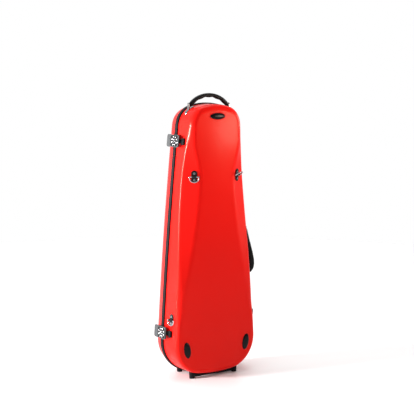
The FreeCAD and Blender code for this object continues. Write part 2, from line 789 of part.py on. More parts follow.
def brackets(half, seat, body, thick):
    """Two end brackets: a plate that follows the shell and one ear beyond the grip's end."""
    found = []
    for side in (-1, 1):
        near = half + EYE_LONG / 2 + EAR_GAP
        ear = Part.makeCylinder(EYE_R, EAR_THICK, Vector(near, 0, 0), Vector(1, 0, 0))
        ear = ear.fuse(box(near, near + EAR_THICK, -EYE_R, EYE_R, -24.0, 0.0))
        plate = box(half - 9.0, near + 13.0, -6.5, 6.5, -30.0, 4.0)
        plate = rounded(plate, 4.0, along_axis(2))
        bore = Part.makeCylinder(PIN_R + PIN_CLEAR, 30.0, Vector(near - 10, 0, 0), Vector(1, 0, 0))
        if side < 0:
            ear, plate, bore = [b.mirror(Vector(0, 0, 0), Vector(1, 0, 0)) for b in (ear, plate, bore)]
        plate = seat.put(plate).common(thick)
        found.append(plate.fuse(seat.put(ear)).cut(body).cut(seat.put(bore)).removeSplitter())
    return Part.makeCompound(found)


def handle_pins(half, seat):
    pins = []
    for side in (-1, 1):
        start = side * (half - EYE_LONG / 2 + 1.0)
        long = EYE_LONG - 1.0 + EAR_GAP + EAR_THICK
        pins.append(seat.put(Part.makeCylinder(PIN_R, long, Vector(start, 0, 0), Vector(side, 0, 0))))
    return Part.makeCompound(pins)


def top_handle_seat():
    return Seat(Vector(0, TOP_HANDLE_Y, TOP_HANDLE_Z), Vector(0, 0, 1), Vector(0, 1, 0))


def side_handle_seat():
    x, z, nx, nz = side_station(SIDE_HANDLE_Z)
    out = Vector(nx, 0, nz)
    return Seat(Vector(x, SIDE_HANDLE_Y, z) + out * SIDE_HANDLE_OUT, out, Vector(0, 1, 0))


def build_handles(base):
    thick = base_body(-BRACKET_THICK, 0.0)
    for name, half, seat, band in (
        ("top", TOP_HANDLE_X, top_handle_seat(), arched_band(TOP_HANDLE_X, TOP_HANDLE_RISE)),
        ("side", SIDE_HANDLE_HALF, side_handle_seat(), sagging_band(SIDE_HANDLE_HALF)),
    ):
        save(name + "_handle_grip", seat.put(with_eyes(band, half)))
        save(name + "_handle_brackets", brackets(half, seat, base, thick))
        save(name + "_handle_pins", handle_pins(half, seat))
        tell_axis(name, seat, (0, 0, 0), (1, 0, 0))


# ---- feet and rest pads -------------------------------------------------------------

def foot_rail(y, body):
    """Two round feet joined by a low bar, cut to the shell's underside."""
    parts = []
    for x in (-FOOT_X, FOOT_X):
        foot = Part.makeCone(FOOT_R - 1.0, FOOT_R, FOOT_TALL, Vector(x, y, 0))
        parts.append(foot)
    bar = box(-FOOT_X, FOOT_X, y - FOOT_BAR / 2, y + FOOT_BAR / 2, FOOT_BAR_LIFT, FOOT_TALL)
    return bar.fuse(parts).cut(body).removeSplitter()


def rest_pad(x, z, wide, tall, lean):
    """Oval rubber pad on the flat back panel, with a rolled edge."""
    seat = Seat(Vector(x, -BASE_DEPTH, z), Vector(0, -1, 0), Vector(math.sin(lean), 0, math.cos(lean)))
    long, short = (tall, wide) if tall > wide else (wide, tall)
    oval = Part.Ellipse(Vector(0, 0, 0), long / 2, short / 2)
    face = Part.Face(Part.Wire([oval.toShape()]))
    pad = face.extrude(Vector(0, 0, PAD_PROUD))
    if tall > wide:
        pad.rotate(Vector(0, 0, 0), Vector(0, 0, 1), 90)
    pad = rounded(pad, 1.6, lambda e: abs(e.CenterOfMass.z - PAD_PROUD) < 1e-3)
    return seat.put(pad)


def build_feet(base, lid):
    save("base_foot_rail", foot_rail(BASE_FOOT_Y, base))
    save("lid_foot_rail", foot_rail(LID_FOOT_Y, lid))
    save("top_rest_pad", rest_pad(0.0, TOP_PAD_Z, *TOP_PAD_SIZE, 0.0))
    pads = [rest_pad(side * LOWER_PAD_X, LOWER_PAD_Z, *LOWER_PAD_SIZE, side * LOWER_PAD_LEAN)
            for side in (-1, 1)]
    save("lower_rest_pads", Part.makeCompound(pads))


# ---- interior -----------------------------------------------------------------------

def violin_recess(top):
    """Space for the violin: lower bout, waist, upper bout, neck and scroll."""
    low_z = LOWER_BOUT[0]
    up_z = UPPER_BOUT[0]
    bouts = []
    for z, r in (LOWER_BOUT, UPPER_BOUT):
        bouts.append(Part.makeCylinder(r, top - RECESS_FLOOR, Vector(0, RECESS_FLOOR, z), Vector(0, 1, 0)))
    waist = box(-WAIST_HALF, WAIST_HALF, RECESS_FLOOR, top, low_z, up_z)
    neck = box(-NECK_HALF, NECK_HALF, NECK_FLOOR, top, up_z, NECK_TOP - NECK_HALF)
    end = Part.makeCylinder(NECK_HALF, top - NECK_FLOOR, Vector(0, NECK_FLOOR, NECK_TOP - NECK_HALF),
                            Vector(0, 1, 0))
    return bouts[0].fuse([bouts[1], waist, neck, end]).removeSplitter()


def accessory_outer():
    return box(BOX_X[0], BOX_X[1], BOX_FLOOR, PADDING_TOP, BOX_Z[0], BOX_Z[1])


def rosin_pocket():
    return box(-BOX_X[1], -BOX_X[0], BOX_FLOOR, PADDING_TOP + 1, POCKET_Z[0], POCKET_Z[1])


def build_padding():
    inner = base_body(INSIDE, 0.0)
    below = box(-200, 200, -200, PADDING_TOP, -10, 900)
    block = inner.common(below).cut(violin_recess(PADDING_TOP + 1))
    save("base_padding", block.cut([accessory_outer(), rosin_pocket()]))
    for name, z, half, tall in CUSHIONS:
        cushion = box(-half, half, RECESS_FLOOR, RECESS_FLOOR + CUSHION_THICK, z - tall / 2, z + tall / 2)
        save(name, rounded(cushion, 3.0, along_axis(1)))
    cradle = box(-NECK_HALF, NECK_HALF, NECK_FLOOR, CRADLE_TOP, CRADLE_Z[0], CRADLE_Z[1])
    notch = Part.makeCylinder(NOTCH_R, 100.0, Vector(0, CRADLE_TOP, CRADLE_Z[0] - 10), Vector(0, 0, 1))
    save("neck_cradle", cradle.cut(notch))
    save("neck_strap", neck_strap())


def neck_strap():
    """Hook and loop strap across the neck slot, lying on the padding at both ends."""
    reach = NECK_HALF + STRAP_REACH
    middle = (CRADLE_Z[0] + CRADLE_Z[1]) / 2
    return box(-reach, NECK_HALF + 4.0, PADDING_TOP, PADDING_TOP + 1.6, middle - 10.0, middle + 10.0)


def build_accessory_box():
    outer = accessory_outer()
    x0, x1 = BOX_X
    z0, z1 = BOX_Z
    hollow_box = box(x0 + BOX_WALL, x1 - BOX_WALL, BOX_FLOOR + BOX_WALL, PADDING_TOP + 1,
                     z0 + BOX_WALL, z1 - BOX_WALL)
    top = PADDING_TOP + BOX_HINGE_RISE
    seat = [z0 + 14.0, z1 - 14.0]
    tray = outer.cut(hollow_box)
    for z in seat:
        lug = Part.makeCylinder(2.8, 6.0, Vector(x0 + 3.0, top, z - 3.0))
        lug = lug.fuse(box(x0, x0 + 6.0, PADDING_TOP - 0.2, top, z - 3.0, z + 3.0))
        tray = tray.fuse(lug)
    pin_hole = Part.makeCylinder(BOX_PIN_R + PIN_CLEAR, z1 - z0, Vector(x0 + 3.0, top, z0))
    tray = tray.cut(pin_hole).removeSplitter()
    save("accessory_box", tray)
    flap = box(x0 + 3.0, x1 - 0.5, PADDING_TOP + 0.4, PADDING_TOP + 3.4, z0 + 0.5, z1 - 0.5)
    flap = rounded(flap, 4.0, lambda e: along_axis(1)(e) and e.CenterOfMass.x > x0 + 10)
    barrel = Part.makeCylinder(3.0, z1 - z0 - 1.0, Vector(x0 + 3.0, top, z0 + 0.5))
    flap = flap.fuse(barrel)
    for z in seat:
        flap = flap.cut(box(x0 - 1.0, x0 + 7.0, PADDING_TOP - 1, top + 4, z - 3.4, z + 3.4))
    save("accessory_lid", flap.cut(pin_hole).removeSplitter())
    save("accessory_pin", Part.makeCylinder(BOX_PIN_R, z1 - z0 - 2, Vector(x0 + 3.0, top, z0 + 1)))
    middle = (z0 + z1) / 2
    tab = box(x1 - 9.0, x1 + 6.0, PADDING_TOP + 3.4, PADDING_TOP + 4.6, middle - 7.0, middle + 7.0)
    save("accessory_tab", rounded(tab, 4.0, lambda e: along_axis(1)(e) and e.CenterOfMass.x > x1))


def bow_post(x, roof):
    """Round block on the lid's roof, with a stud through the spinner and a cap under it."""
    down = Vector(0, -1, 0)
    block = Part.makeCylinder(9.0, POST_TALL, Vector(x, roof, BOW_HOLD_Z), down)
    stud_long = SPIN_THICK + 0.6
    stud = Part.makeCylinder(2.5, stud_long + 1.0, Vector(x, roof - POST_TALL, BOW_HOLD_Z), down)
    cap = Part.makeCylinder(4.5, 1.4, Vector(x, roof - POST_TALL - stud_long, BOW_HOLD_Z), down)
    return block.fuse([stud, cap]).removeSplitter()


def build_bow_holders():
    roof = LID_DEPTH - INSIDE
    room = lid_body(INSIDE, 0.0)
    posts = []
    pockets = []
    for name, x in (("left", -BOW_X), ("right", BOW_X)):
        y1 = roof - POST_TALL - 0.3
        posts.append(bow_post(x, roof))
        arm = box(x - SPIN_WIDE / 2, x + SPIN_WIDE / 2, y1 - SPIN_THICK, y1,
                  BOW_HOLD_Z - SPIN_LONG / 2, BOW_HOLD_Z + SPIN_LONG / 2)
        arm = rounded(arm, SPIN_WIDE / 2 - 0.5, along_axis(1))
        hole = Part.makeCylinder(2.5 + PIN_CLEAR, 30.0, Vector(x, y1 - 20, BOW_HOLD_Z), Vector(0, 1, 0))
        save("bow_spinner_" + name, arm.cut(hole))
        pocket = box(x - 16.0, x + 16.0, roof - 22.0, roof, BOW_TIP_Z, BOW_TIP_Z + 34.0)
        slot = box(x - 10.0, x + 10.0, roof - 17.0, roof - 5.0, BOW_TIP_Z - 1, BOW_TIP_Z + 28.0)
        pockets.append(rounded(pocket, 3.0, along_axis(1)).cut(slot).common(room))
    save("bow_posts", Part.makeCompound([p.removeSplitter() for p in posts]))
    save("bow_tip_pockets", Part.makeCompound(pockets))


# ---- the whole case -----------------------------------------------------------------

def build_all():
    os.makedirs("parts", exist_ok=True)
    base = base_body(0.0, 0.0)
    lid = lid_body(0.0, 0.0)
    build_shells()
    build_hinges(base, lid)
    build_latches(base, lid)
    build_rings(base)
    build_handles(base)
    build_feet(base, lid)
    build_padding()
    build_accessory_box()
    build_bow_holders()


build_all()
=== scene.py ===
import json
import math

import bmesh
import bpy
from mathutils import Matrix, Vector, noise
from mathutils.geometry import delaunay_2d_cdt


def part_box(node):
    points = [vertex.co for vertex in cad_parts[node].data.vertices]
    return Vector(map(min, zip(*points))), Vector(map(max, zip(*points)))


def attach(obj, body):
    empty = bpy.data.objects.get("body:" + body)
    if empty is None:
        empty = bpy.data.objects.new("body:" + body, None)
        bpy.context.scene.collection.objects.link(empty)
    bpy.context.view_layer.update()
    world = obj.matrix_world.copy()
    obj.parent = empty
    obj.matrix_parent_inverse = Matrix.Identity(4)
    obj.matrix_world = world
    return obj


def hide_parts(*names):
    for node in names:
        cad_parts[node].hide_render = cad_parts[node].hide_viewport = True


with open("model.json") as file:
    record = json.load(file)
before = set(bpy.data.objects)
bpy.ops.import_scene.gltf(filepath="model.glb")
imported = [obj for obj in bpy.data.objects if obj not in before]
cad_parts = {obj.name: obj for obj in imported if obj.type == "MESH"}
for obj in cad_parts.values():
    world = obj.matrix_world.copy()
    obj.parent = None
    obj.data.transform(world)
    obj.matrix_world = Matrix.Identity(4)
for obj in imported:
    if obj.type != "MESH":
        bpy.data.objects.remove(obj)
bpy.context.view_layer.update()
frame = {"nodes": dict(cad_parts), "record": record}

# A hard violin case standing on its wide end. All lengths are in metres, in the part's own
# frame: X across the case, -Y the base shell's back, +Y the lid, +Z up.
MM = 0.001

# Seam outline of the shells, right half, from the bottom up: five tangent arcs
SHELL_BOTTOM = 8.0 * MM
SHELL_TOP = 795.0 * MM
BOTTOM_ARC = 420.0 * MM
BOTTOM_CORNER = 97.0 * MM
HALF_WIDTH = 142.5 * MM
SIDE_ARC = 13000.0 * MM
TOP_CORNER = 60.0 * MM
TOP_HALF_WIDTH = 92.5 * MM
TOP_ARC = 175.0 * MM

# Base shell section: the wall runs in to a crease, and a facet from there to the flat back.
# At the waist the wall is upright and low, and the facet is widest.
BASE_DEPTH = 71.0 * MM
EDGE_DEPTH = 3.0 * MM
WALL_INSET = 10.5 * MM
WALL_UPRIGHT = 4.3 * MM
PANEL_INSET = 13.0 * MM
TOP_PANEL_INSET = 12.0 * MM
WAIST_HEIGHT = 570.0 * MM
WAIST_PANEL_INSET = 55.0 * MM
WAIST_DEPTH = 23.5 * MM
EDGE_BELOW = 425.0 * MM
EDGE_ABOVE = 265.0 * MM
FACET_BELOW = 400.0 * MM
FACET_ABOVE = 170.0 * MM
FACET_POWER = 2.2
BOTTOM_SHARE = 0.75
END_NARROWING = 0.4
PANEL_CROWN = 1.0 * MM
PANEL_CELL = 7.0 * MM

# How far the roundings of the creases reach: firm at the waist, soft at the ends
FIRM_TURN = 5.0 * MM
SOFT_TURN = 14.0 * MM
PANEL_TURN = 9.0 * MM
# Where the facet is short, one rounding takes in both creases
END_TURN = 15.0 * MM
LONG_FACET = 26.0 * MM
SHORT_FACET = 10.0 * MM

# Points along the wall, along each rounding and along the facet of a section
WALL_STEPS = 8
TURN_STEPS = 7
FACET_STEPS = 7

# Lid section: (inset from the seam outline, distance from the seam)
LID_PROFILE = ((0.0, 3.5), (3.0, 30.0), (7.0, 45.0), (15.0, 54.5), (30.0, 58.5), (42.0, 59.5))
LID_CROWN = 2.0 * MM
LID_UNDERSIDE_EASE = 0.5

SKIN = 2.5 * MM
RIM_GAP = 0.3 * MM
SHELL_EDGE = 2.0 * MM

# Points of a skin closer together than this are welded
WELD_GAP = 0.02 * MM

# Where the seam plane and the mid-plane lie in the frame
RIM_LOW, RIM_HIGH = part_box("base_rim")
CASE_X = (RIM_LOW[0] + RIM_HIGH[0]) / 2
SEAM_Y = RIM_HIGH[1] + RIM_GAP


# ---- outline and sections -----------------------------------------------------------

def side_centre(low_x, low_z, top_x, top_z):
    """Centre of the long side arc that runs smoothly into both corners."""
    low_reach = SIDE_ARC - BOTTOM_CORNER
    top_reach = SIDE_ARC - TOP_CORNER
    gap = math.hypot(top_x - low_x, top_z - low_z)
    along = (low_reach ** 2 - top_reach ** 2 + gap ** 2) / (2 * gap)
    across = math.sqrt(low_reach ** 2 - along ** 2)
    ux = (top_x - low_x) / gap
    uz = (top_z - low_z) / gap
    return low_x + along * ux - across * uz, low_z + along * uz + across * ux


def outline_arcs():
    """The right half of the seam outline as arcs (centre x, centre z, radius, start, end)."""
    low_x = HALF_WIDTH - BOTTOM_CORNER
    low_mid = SHELL_BOTTOM + BOTTOM_ARC
    low_z = low_mid - math.sqrt((BOTTOM_ARC - BOTTOM_CORNER) ** 2 - low_x ** 2)
    top_x = TOP_HALF_WIDTH - TOP_CORNER
    top_mid = SHELL_TOP - TOP_ARC
    top_z = top_mid + math.sqrt((TOP_ARC - TOP_CORNER) ** 2 - top_x ** 2)
    side_x, side_z = side_centre(low_x, low_z, top_x, top_z)
    turns = [
        -math.pi / 2,
        math.atan2(low_z - low_mid, low_x),
        math.atan2(low_z - side_z, low_x - side_x),
        math.atan2(top_z - side_z, top_x - side_x),
        math.atan2(top_z - top_mid, top_x),
        math.pi / 2,
    ]
    centres = [
        (0.0, low_mid, BOTTOM_ARC),
        (low_x, low_z, BOTTOM_CORNER),
        (side_x, side_z, SIDE_ARC),
        (top_x, top_z, TOP_CORNER),
        (0.0, top_mid, TOP_ARC),
    ]
    return [c + (turns[i], turns[i + 1]) for i, c in enumerate(centres)]


ARCS = outline_arcs()
ARC_STEPS = (10, 36, 110, 30, 14)


def right_stations():
    """Points of the right half outline, with their outward directions: (x, z, nx, nz)."""
    found = []
    for (cx, cz, r, start, end), steps in zip(ARCS, ARC_STEPS):
        first = 1 if found else 0
        for i in range(first, steps + 1):
            angle = start + (end - start) * i / steps
            nx = math.cos(angle)
            nz = math.sin(angle)
            found.append((cx + r * nx, cz + r * nz, nx, nz))
    return found


def all_stations():
    """Points round the whole outline, from the bottom up the right side and down the left."""
    right = right_stations()
    left = [(-x, z, -nx, nz) for x, z, nx, nz in reversed(right[1:-1])]
    return right + left


STATIONS = all_stations()


def side_station(z):
    """The point of the right side arc at height z."""
    cx, cz, r = ARCS[2][:3]
    nz = (z - cz) / r
    nx = math.sqrt(1 - nz * nz)
    return cx + r * nx, z, nx, nz


def swell(z, below, above):
    """1 at the waist, falling smoothly to 0 below it and above it."""
    reach = above if z > WAIST_HEIGHT else below
    share = min(abs(z - WAIST_HEIGHT) / reach, 1.0)
    return math.cos(share * math.pi / 2) ** 2


def end_turn(nz):
    """0 on the long sides, 1 at the top, and less at the bottom, where the wall keeps some slope."""
    return nz ** 2 * (1.0 if nz > 0 else BOTTOM_SHARE)


def underside(nz):
    """How far a station looks down: 0 on the sides and top, 1 at the bottom."""
    return max(0.0, -nz) ** 2


def wall_inset(station):
    """How far the crease lies in from the seam outline."""
    upright = WALL_UPRIGHT * swell(station[1], EDGE_BELOW, EDGE_ABOVE)
    return (WALL_INSET - upright) * (1 - end_turn(station[3]))


def crease_depth(station):
    """Distance of the crease from the seam plane."""
    return BASE_DEPTH - EDGE_DEPTH - WAIST_DEPTH * swell(station[1], EDGE_BELOW, EDGE_ABOVE)


def panel_inset(station):
    """Inset of the flat back; the facet ends in a point low on the sides."""
    z = station[1]
    if z > WAIST_HEIGHT:
        rise = WAIST_PANEL_INSET - TOP_PANEL_INSET
        inset = TOP_PANEL_INSET + rise * swell(z, FACET_BELOW, FACET_ABOVE)
    else:
        share = min((WAIST_HEIGHT - z) / FACET_BELOW, 1.0)
        inset = WAIST_PANEL_INSET - (WAIST_PANEL_INSET - PANEL_INSET) * share ** FACET_POWER
    return inset * (1 - END_NARROWING * end_turn(station[3]))


def moved_in(station, inset, y):
    """The outline point moved inwards by inset and to y from the seam, in the part's frame."""
    x, z, nx, nz = station
    return Vector((CASE_X + x - inset * nx, SEAM_Y + y, z - inset * nz))


def straight(a, b, steps):
    return [a + (b - a) * (i / steps) for i in range(steps)]


def rounded_corner(a, corner, b, reach):
    """Smooth turn at corner, leaving the run from a and joining the run to b."""
    start = corner + (a - corner).normalized() * reach
    end = corner + (b - corner).normalized() * reach
    points = []
    for i in range(TURN_STEPS + 1):
        t = i / TURN_STEPS
        points.append(start * (1 - t) ** 2 + corner * 2 * t * (1 - t) + end * t ** 2)
    return points


def one_turn(a, b, c, d, t):
    """Point on the smooth curve from a to d that is drawn towards b and c."""
    u = 1 - t
    return a * u ** 3 + b * 3 * u * u * t + c * 3 * u * t * t + d * t ** 3


def smooth_step(value):
    """0 for a value up to 0, 1 from 1 upwards, and a soft turn between them."""
    share = min(max(value, 0.0), 1.0)
    return share * share * (3 - 2 * share)


def base_section(station):
    """Points of the base's skin at one station, from the rim to the flat of the panel."""
    inset = wall_inset(station)
    depth = crease_depth(station)
    rim = Vector((inset * SHELL_EDGE / depth, -SHELL_EDGE))
    crease = Vector((inset, -depth))
    edge = Vector((panel_inset(station), -BASE_DEPTH))
    flat = edge + Vector((END_TURN, 0))
    facet = (edge - crease).length
    firm = min(1.0, swell(station[1], EDGE_BELOW, EDGE_ABOVE) * 2.0)
    wall_turn = min(SOFT_TURN + (FIRM_TURN - SOFT_TURN) * firm, 0.48 * facet)
    panel_turn = min(PANEL_TURN, 0.5 * facet)
    first = rounded_corner(rim, crease, edge, wall_turn)
    second = rounded_corner(crease, edge, flat, panel_turn)
    along_facet = straight(first[-1], second[0], FACET_STEPS)[1:]
    creased = straight(rim, first[0], WALL_STEPS) + first + along_facet + second
    start = crease + (rim - crease).normalized() * END_TURN
    steps = 2 * TURN_STEPS + FACET_STEPS
    turn = [one_turn(start, crease, edge, flat, i / steps) for i in range(steps + 1)]
    rounded = straight(rim, start, WALL_STEPS) + turn
    share = smooth_step((LONG_FACET - facet) / (LONG_FACET - SHORT_FACET))
    return [a + (b - a) * share for a, b in zip(creased, rounded)]


def smoothed(points, rounds):
    """Corner cutting, which turns a few points into a smooth line with the same ends."""
    for _ in range(rounds):
        cut = [points[0]]
        for a, b in zip(points, points[1:]):
            cut += [a * 0.75 + b * 0.25, a * 0.25 + b * 0.75]
        points = cut + [points[-1]]
    return points


LID_LINE = smoothed([Vector(p) * MM for p in LID_PROFILE], 3)


def lid_section(station):
    """Points of the lid's skin at one station; it runs in less at the bottom."""
    ease = 1 - LID_UNDERSIDE_EASE * underside(station[3])
    flat_from = LID_PROFILE[-2][0] * MM
    return [Vector((min(p.x * ease, p.x) if p.x < flat_from else p.x - flat_from * (1 - ease), p.y))
            for p in LID_LINE]


# ---- mesh helpers -------------------------------------------------------------------

def add_object(name, verts, faces, material):
    mesh = bpy.data.meshes.new(name)
    mesh.from_pydata([tuple(v) for v in verts], [], faces)
    mesh.validate()
    mesh.materials.append(material)
    obj = bpy.data.objects.new(name, mesh)
    bpy.context.scene.collection.objects.link(obj)
    for polygon in mesh.polygons:
        polygon.use_smooth = True
    return obj


def outward(obj):
    """Face normals point out of the closed mesh."""
    work = bmesh.new()
    work.from_mesh(obj.data)
    bmesh.ops.recalc_face_normals(work, faces=work.faces)
    work.to_mesh(obj.data)
    work.free()
    return obj


def ring_faces(rows, count, closed=True):
    """Quads between consecutive rows of count points each."""
    faces = []
    last = count if closed else count - 1
    for r in range(rows - 1):
        for i in range(last):
            j = (i + 1) % count
            a = r * count
            faces.append((a + i, a + j, a + count + j, a + count + i))
    return faces


def add_modifier(obj, kind, **settings):
    modifier = obj.modifiers.new(kind.title(), kind)
    for key, value in settings.items():
        setattr(modifier, key, value)
    return modifier


def panel_fill(ring_points, y_of):
    """Interior points and triangles that fill the flat of a shell inside its last ring."""
    outline = [Vector((p.x, p.z)) for p in ring_points]
    low_z = min(p.y for p in outline)
    high_z = max(p.y for p in outline)
    inner = []
    rows = int((high_z - low_z) / PANEL_CELL)
    for r in range(1, rows):
        z = low_z + (high_z - low_z) * r / rows
        half = half_width_at(outline, z) - PANEL_CELL * 0.6
        if half <= 0:
            continue
        columns = max(2, int(2 * half / PANEL_CELL))
        for c in range(columns + 1):
            inner.append(Vector((CASE_X - half + 2 * half * c / columns, z)))
    points = outline + inner
    loop = list(range(len(outline)))
    result = delaunay_2d_cdt(points, [], [loop], 1, 1e-7)
    verts = [Vector((p.x, y_of(p.x, p.y, outline), p.y)) for p in result[0]]
    return verts, [tuple(f) for f in result[2]]


def half_width_at(outline, z):
    """Half the width of the outline at height z."""
    best = 0.0
    for a, b in zip(outline, outline[1:] + outline[:1]):
        if (a.y - z) * (b.y - z) <= 0 and a.y != b.y:
            x = a.x + (b.x - a.x) * (z - a.y) / (b.y - a.y)
            best = max(best, abs(x - CASE_X))
    return best


def crowned(level, crown):
    """Height of a crowned panel: full in the middle, falling to its outline."""
    def y_of(x, z, outline):
        half = max(half_width_at(outline, z), 1e-6)
        low_z = min(p.y for p in outline)
        high_z = max(p.y for p in outline)
        up = (z - low_z) / (high_z - low_z) * 2 - 1
        across = max(0.0, 1 - ((x - CASE_X) / half) ** 2)
        return level + crown * across * max(0.0, 1 - up ** 8)
    return y_of


def shell_mesh(name, section, level, crown, material):
    """Skin of a shell: rings from the rim to the panel, and the crowned panel."""
    sections = [section(s) for s in STATIONS]
    rows = len(sections[0])
    verts = []
    for r in range(rows):
        verts += [moved_in(s, sections[i][r].x, sections[i][r].y) for i, s in enumerate(STATIONS)]
    faces = ring_faces(rows, len(STATIONS))
    last = verts[-len(STATIONS):]
    fill, triangles = panel_fill(last, crowned(level, crown))
    start = len(verts)
    verts += fill
    faces += [tuple(start + i for i in f) for f in triangles]
    obj = add_object(name, verts, faces, material)
    work = bmesh.new()
    work.from_mesh(obj.data)
    bmesh.ops.remove_doubles(work, verts=work.verts, dist=WELD_GAP)
    bmesh.ops.recalc_face_normals(work, faces=work.faces)
    work.to_mesh(obj.data)
    work.free()
    return obj


def outline_sweep(name, section, material):
    """Closed section swept round the whole seam outline."""
    count = len(section)
    verts = []
    for s in STATIONS:
        verts += [moved_in(s, inset * MM, y * MM) for inset, y in section]
    faces = []
    total = len(STATIONS)
    for i in range(total):
        j = (i + 1) % total
        for k in range(count):
            m = (k + 1) % count
            faces.append((i * count + k, i * count + m, j * count + m, j * count + k))
    return outward(add_object(name, verts, faces, material))


# ---- materials ----------------------------------------------------------------------

# The range that a noise texture's value mostly keeps to
NOISE_SPAN = (0.3, 0.7)


def set_span(node, given, wanted):
    """Make a map range node turn the given range into the wanted one."""
    for key, number in zip(("From Min", "From Max", "To Min", "To Max"), (*given, *wanted)):
        node.inputs[key].default_value = number


class Recipe:
    """Small helper that builds one procedural material node by node."""

    def __init__(self, name, colour, rough, metal=0.0, **sockets):
        self.material = bpy.data.materials.new(name)
        self.material.use_nodes = True
        self.tree = self.material.node_tree
        self.shader = self.tree.nodes["Principled BSDF"]
        self.shader.inputs["Base Color"].default_value = (*colour, 1)
        self.shader.inputs["Roughness"].default_value = rough
        self.shader.inputs["Metallic"].default_value = metal
        for socket, value in sockets.items():
            self.shader.inputs[socket.replace("_", " ")].default_value = value
        coords = self.tree.nodes.new("ShaderNodeTexCoord")
        self.place = coords.outputs["Object"]
        self.last_bump = None

    def node(self, kind, **settings):
        made = self.tree.nodes.new(kind)
        for key, value in settings.items():
            setattr(made, key, value)
        return made

    def link(self, output, socket):
        self.tree.links.new(output, socket)

    def noise(self, scale, detail=3.0, stretch=None):
        made = self.node("ShaderNodeTexNoise")
        made.inputs["Scale"].default_value = scale
        made.inputs["Detail"].default_value = detail
        self.link(self.stretched(stretch), made.inputs["Vector"])
        return made.outputs["Fac"]

    def voronoi(self, scale):
        made = self.node("ShaderNodeTexVoronoi")
        made.inputs["Scale"].default_value = scale
        self.link(self.place, made.inputs["Vector"])
        return made.outputs["Distance"]

    def waves(self, scale, direction):
        made = self.node("ShaderNodeTexWave", bands_direction=direction)
        made.inputs["Scale"].default_value = scale
        self.link(self.place, made.inputs["Vector"])
        return made.outputs["Fac"]

    def stretched(self, stretch):
        if stretch is None:
            return self.place
        mapping = self.node("ShaderNodeMapping")
        mapping.inputs["Scale"].default_value = stretch
        self.link(self.place, mapping.inputs["Vector"])
        return mapping.outputs["Vector"]

    def roughness(self, value, low, high):
        made = self.node("ShaderNodeMapRange")
        set_span(made, NOISE_SPAN, (low, high))
        self.link(value, made.inputs["Value"])
        self.link(made.outputs["Result"], self.shader.inputs["Roughness"])

    def tint(self, value, dark, light):
        ramp = self.node("ShaderNodeValToRGB")
        for element, level, colour in zip(ramp.color_ramp.elements, NOISE_SPAN, (dark, light)):
            element.position = level
            element.color = (*colour, 1)
        self.link(value, ramp.inputs["Fac"])
        self.link(ramp.outputs["Color"], self.shader.inputs["Base Color"])

    def bump(self, value, strength, distance):
        made = self.node("ShaderNodeBump")
        made.inputs["Strength"].default_value = strength
        made.inputs["Distance"].default_value = distance
        self.link(value, made.inputs["Height"])
        if self.last_bump is not None:
            self.link(self.last_bump, made.inputs["Normal"])
        self.last_bump = made.outputs["Normal"]
        self.link(self.last_bump, self.shader.inputs["Normal"])


SHELL_COLOUR = (0.76, 0.008, 0.006)
SHELL_DARK = (0.72, 0.007, 0.005)


def gloss_shell():
    """Red-orange gel coat: faint clouding, fine polishing variation and a soft coat."""
    r = Recipe("gloss_shell", SHELL_COLOUR, 0.32, Coat_Weight=0.09, Coat_Roughness=0.15,
               Specular_IOR_Level=0.1, Specular_Tint=(1.0, 0.55, 0.3, 1.0))
    r.tint(r.noise(4.0, 2.0), SHELL_DARK, SHELL_COLOUR)
    r.roughness(r.noise(14.0, 2.0), 0.28, 0.36)
    r.bump(r.noise(120.0, 1.0), 0.02, 0.0003)
    return r.material


def rim_material():
    r = Recipe("rim_profile", (0.014, 0.010, 0.011), 0.5, Specular_IOR_Level=0.06)
    fine = r.noise(900.0, 3.0)
    r.tint(fine, (0.011, 0.008, 0.009), (0.018, 0.013, 0.014))
    r.roughness(r.noise(120.0, 4.0), 0.34, 0.5)
    r.bump(fine, 0.12, 0.0002)
    return r.material


def black_rubber():
    r = Recipe("black_rubber", (0.004, 0.004, 0.005), 0.5, Specular_IOR_Level=0.1)
    fine = r.noise(1400.0, 3.0)
    r.tint(fine, (0.003, 0.003, 0.004), (0.006, 0.006, 0.007))
    r.roughness(r.noise(90.0, 3.0), 0.38, 0.56)
    r.bump(fine, 0.2, 0.0002)
    return r.material


def chrome():
    r = Recipe("chrome", (0.42, 0.42, 0.44), 0.12, metal=1.0)
    worn = r.noise(160.0, 5.0)
    r.tint(worn, (0.34, 0.34, 0.36), (0.50, 0.50, 0.52))
    r.roughness(worn, 0.08, 0.2)
    r.bump(r.noise(700.0, 2.0), 0.04, 0.0002)
    return r.material


def latch_grey():
    r = Recipe("latch_grey", (0.06, 0.064, 0.068), 0.38, metal=0.35, Specular_IOR_Level=0.3)
    fine = r.noise(1100.0, 3.0)
    r.tint(fine, (0.05, 0.054, 0.058), (0.075, 0.08, 0.084))
    r.roughness(r.noise(80.0, 4.0), 0.3, 0.46)
    r.bump(fine, 0.1, 0.0002)
    return r.material


def black_plastic():
    r = Recipe("black_plastic", (0.004, 0.004, 0.005), 0.35, Specular_IOR_Level=0.1)
    grain = r.voronoi(900.0)
    r.tint(r.noise(200.0, 3.0), (0.003, 0.003, 0.004), (0.006, 0.006, 0.007))
    r.roughness(r.noise(70.0, 3.0), 0.26, 0.42)
    r.bump(grain, 0.1, 0.0002)
    return r.material


def steel():
    r = Recipe("steel", (0.45, 0.45, 0.47), 0.3, metal=1.0)
    lines = r.noise(300.0, 3.0, stretch=(1.0, 1.0, 0.05))
    r.tint(lines, (0.43, 0.43, 0.45), (0.47, 0.47, 0.49))
    r.roughness(lines, 0.28, 0.34)
    r.bump(lines, 0.02, 0.0002)
    return r.material


def dark_nickel():
    r = Recipe("dark_nickel", (0.035, 0.035, 0.037), 0.22, metal=1.0)
    worn = r.noise(220.0, 4.0)
    r.tint(worn, (0.02, 0.02, 0.022), (0.05, 0.05, 0.053))
    r.roughness(worn, 0.16, 0.3)
    r.bump(r.noise(800.0, 2.0), 0.05, 0.0002)
    return r.material


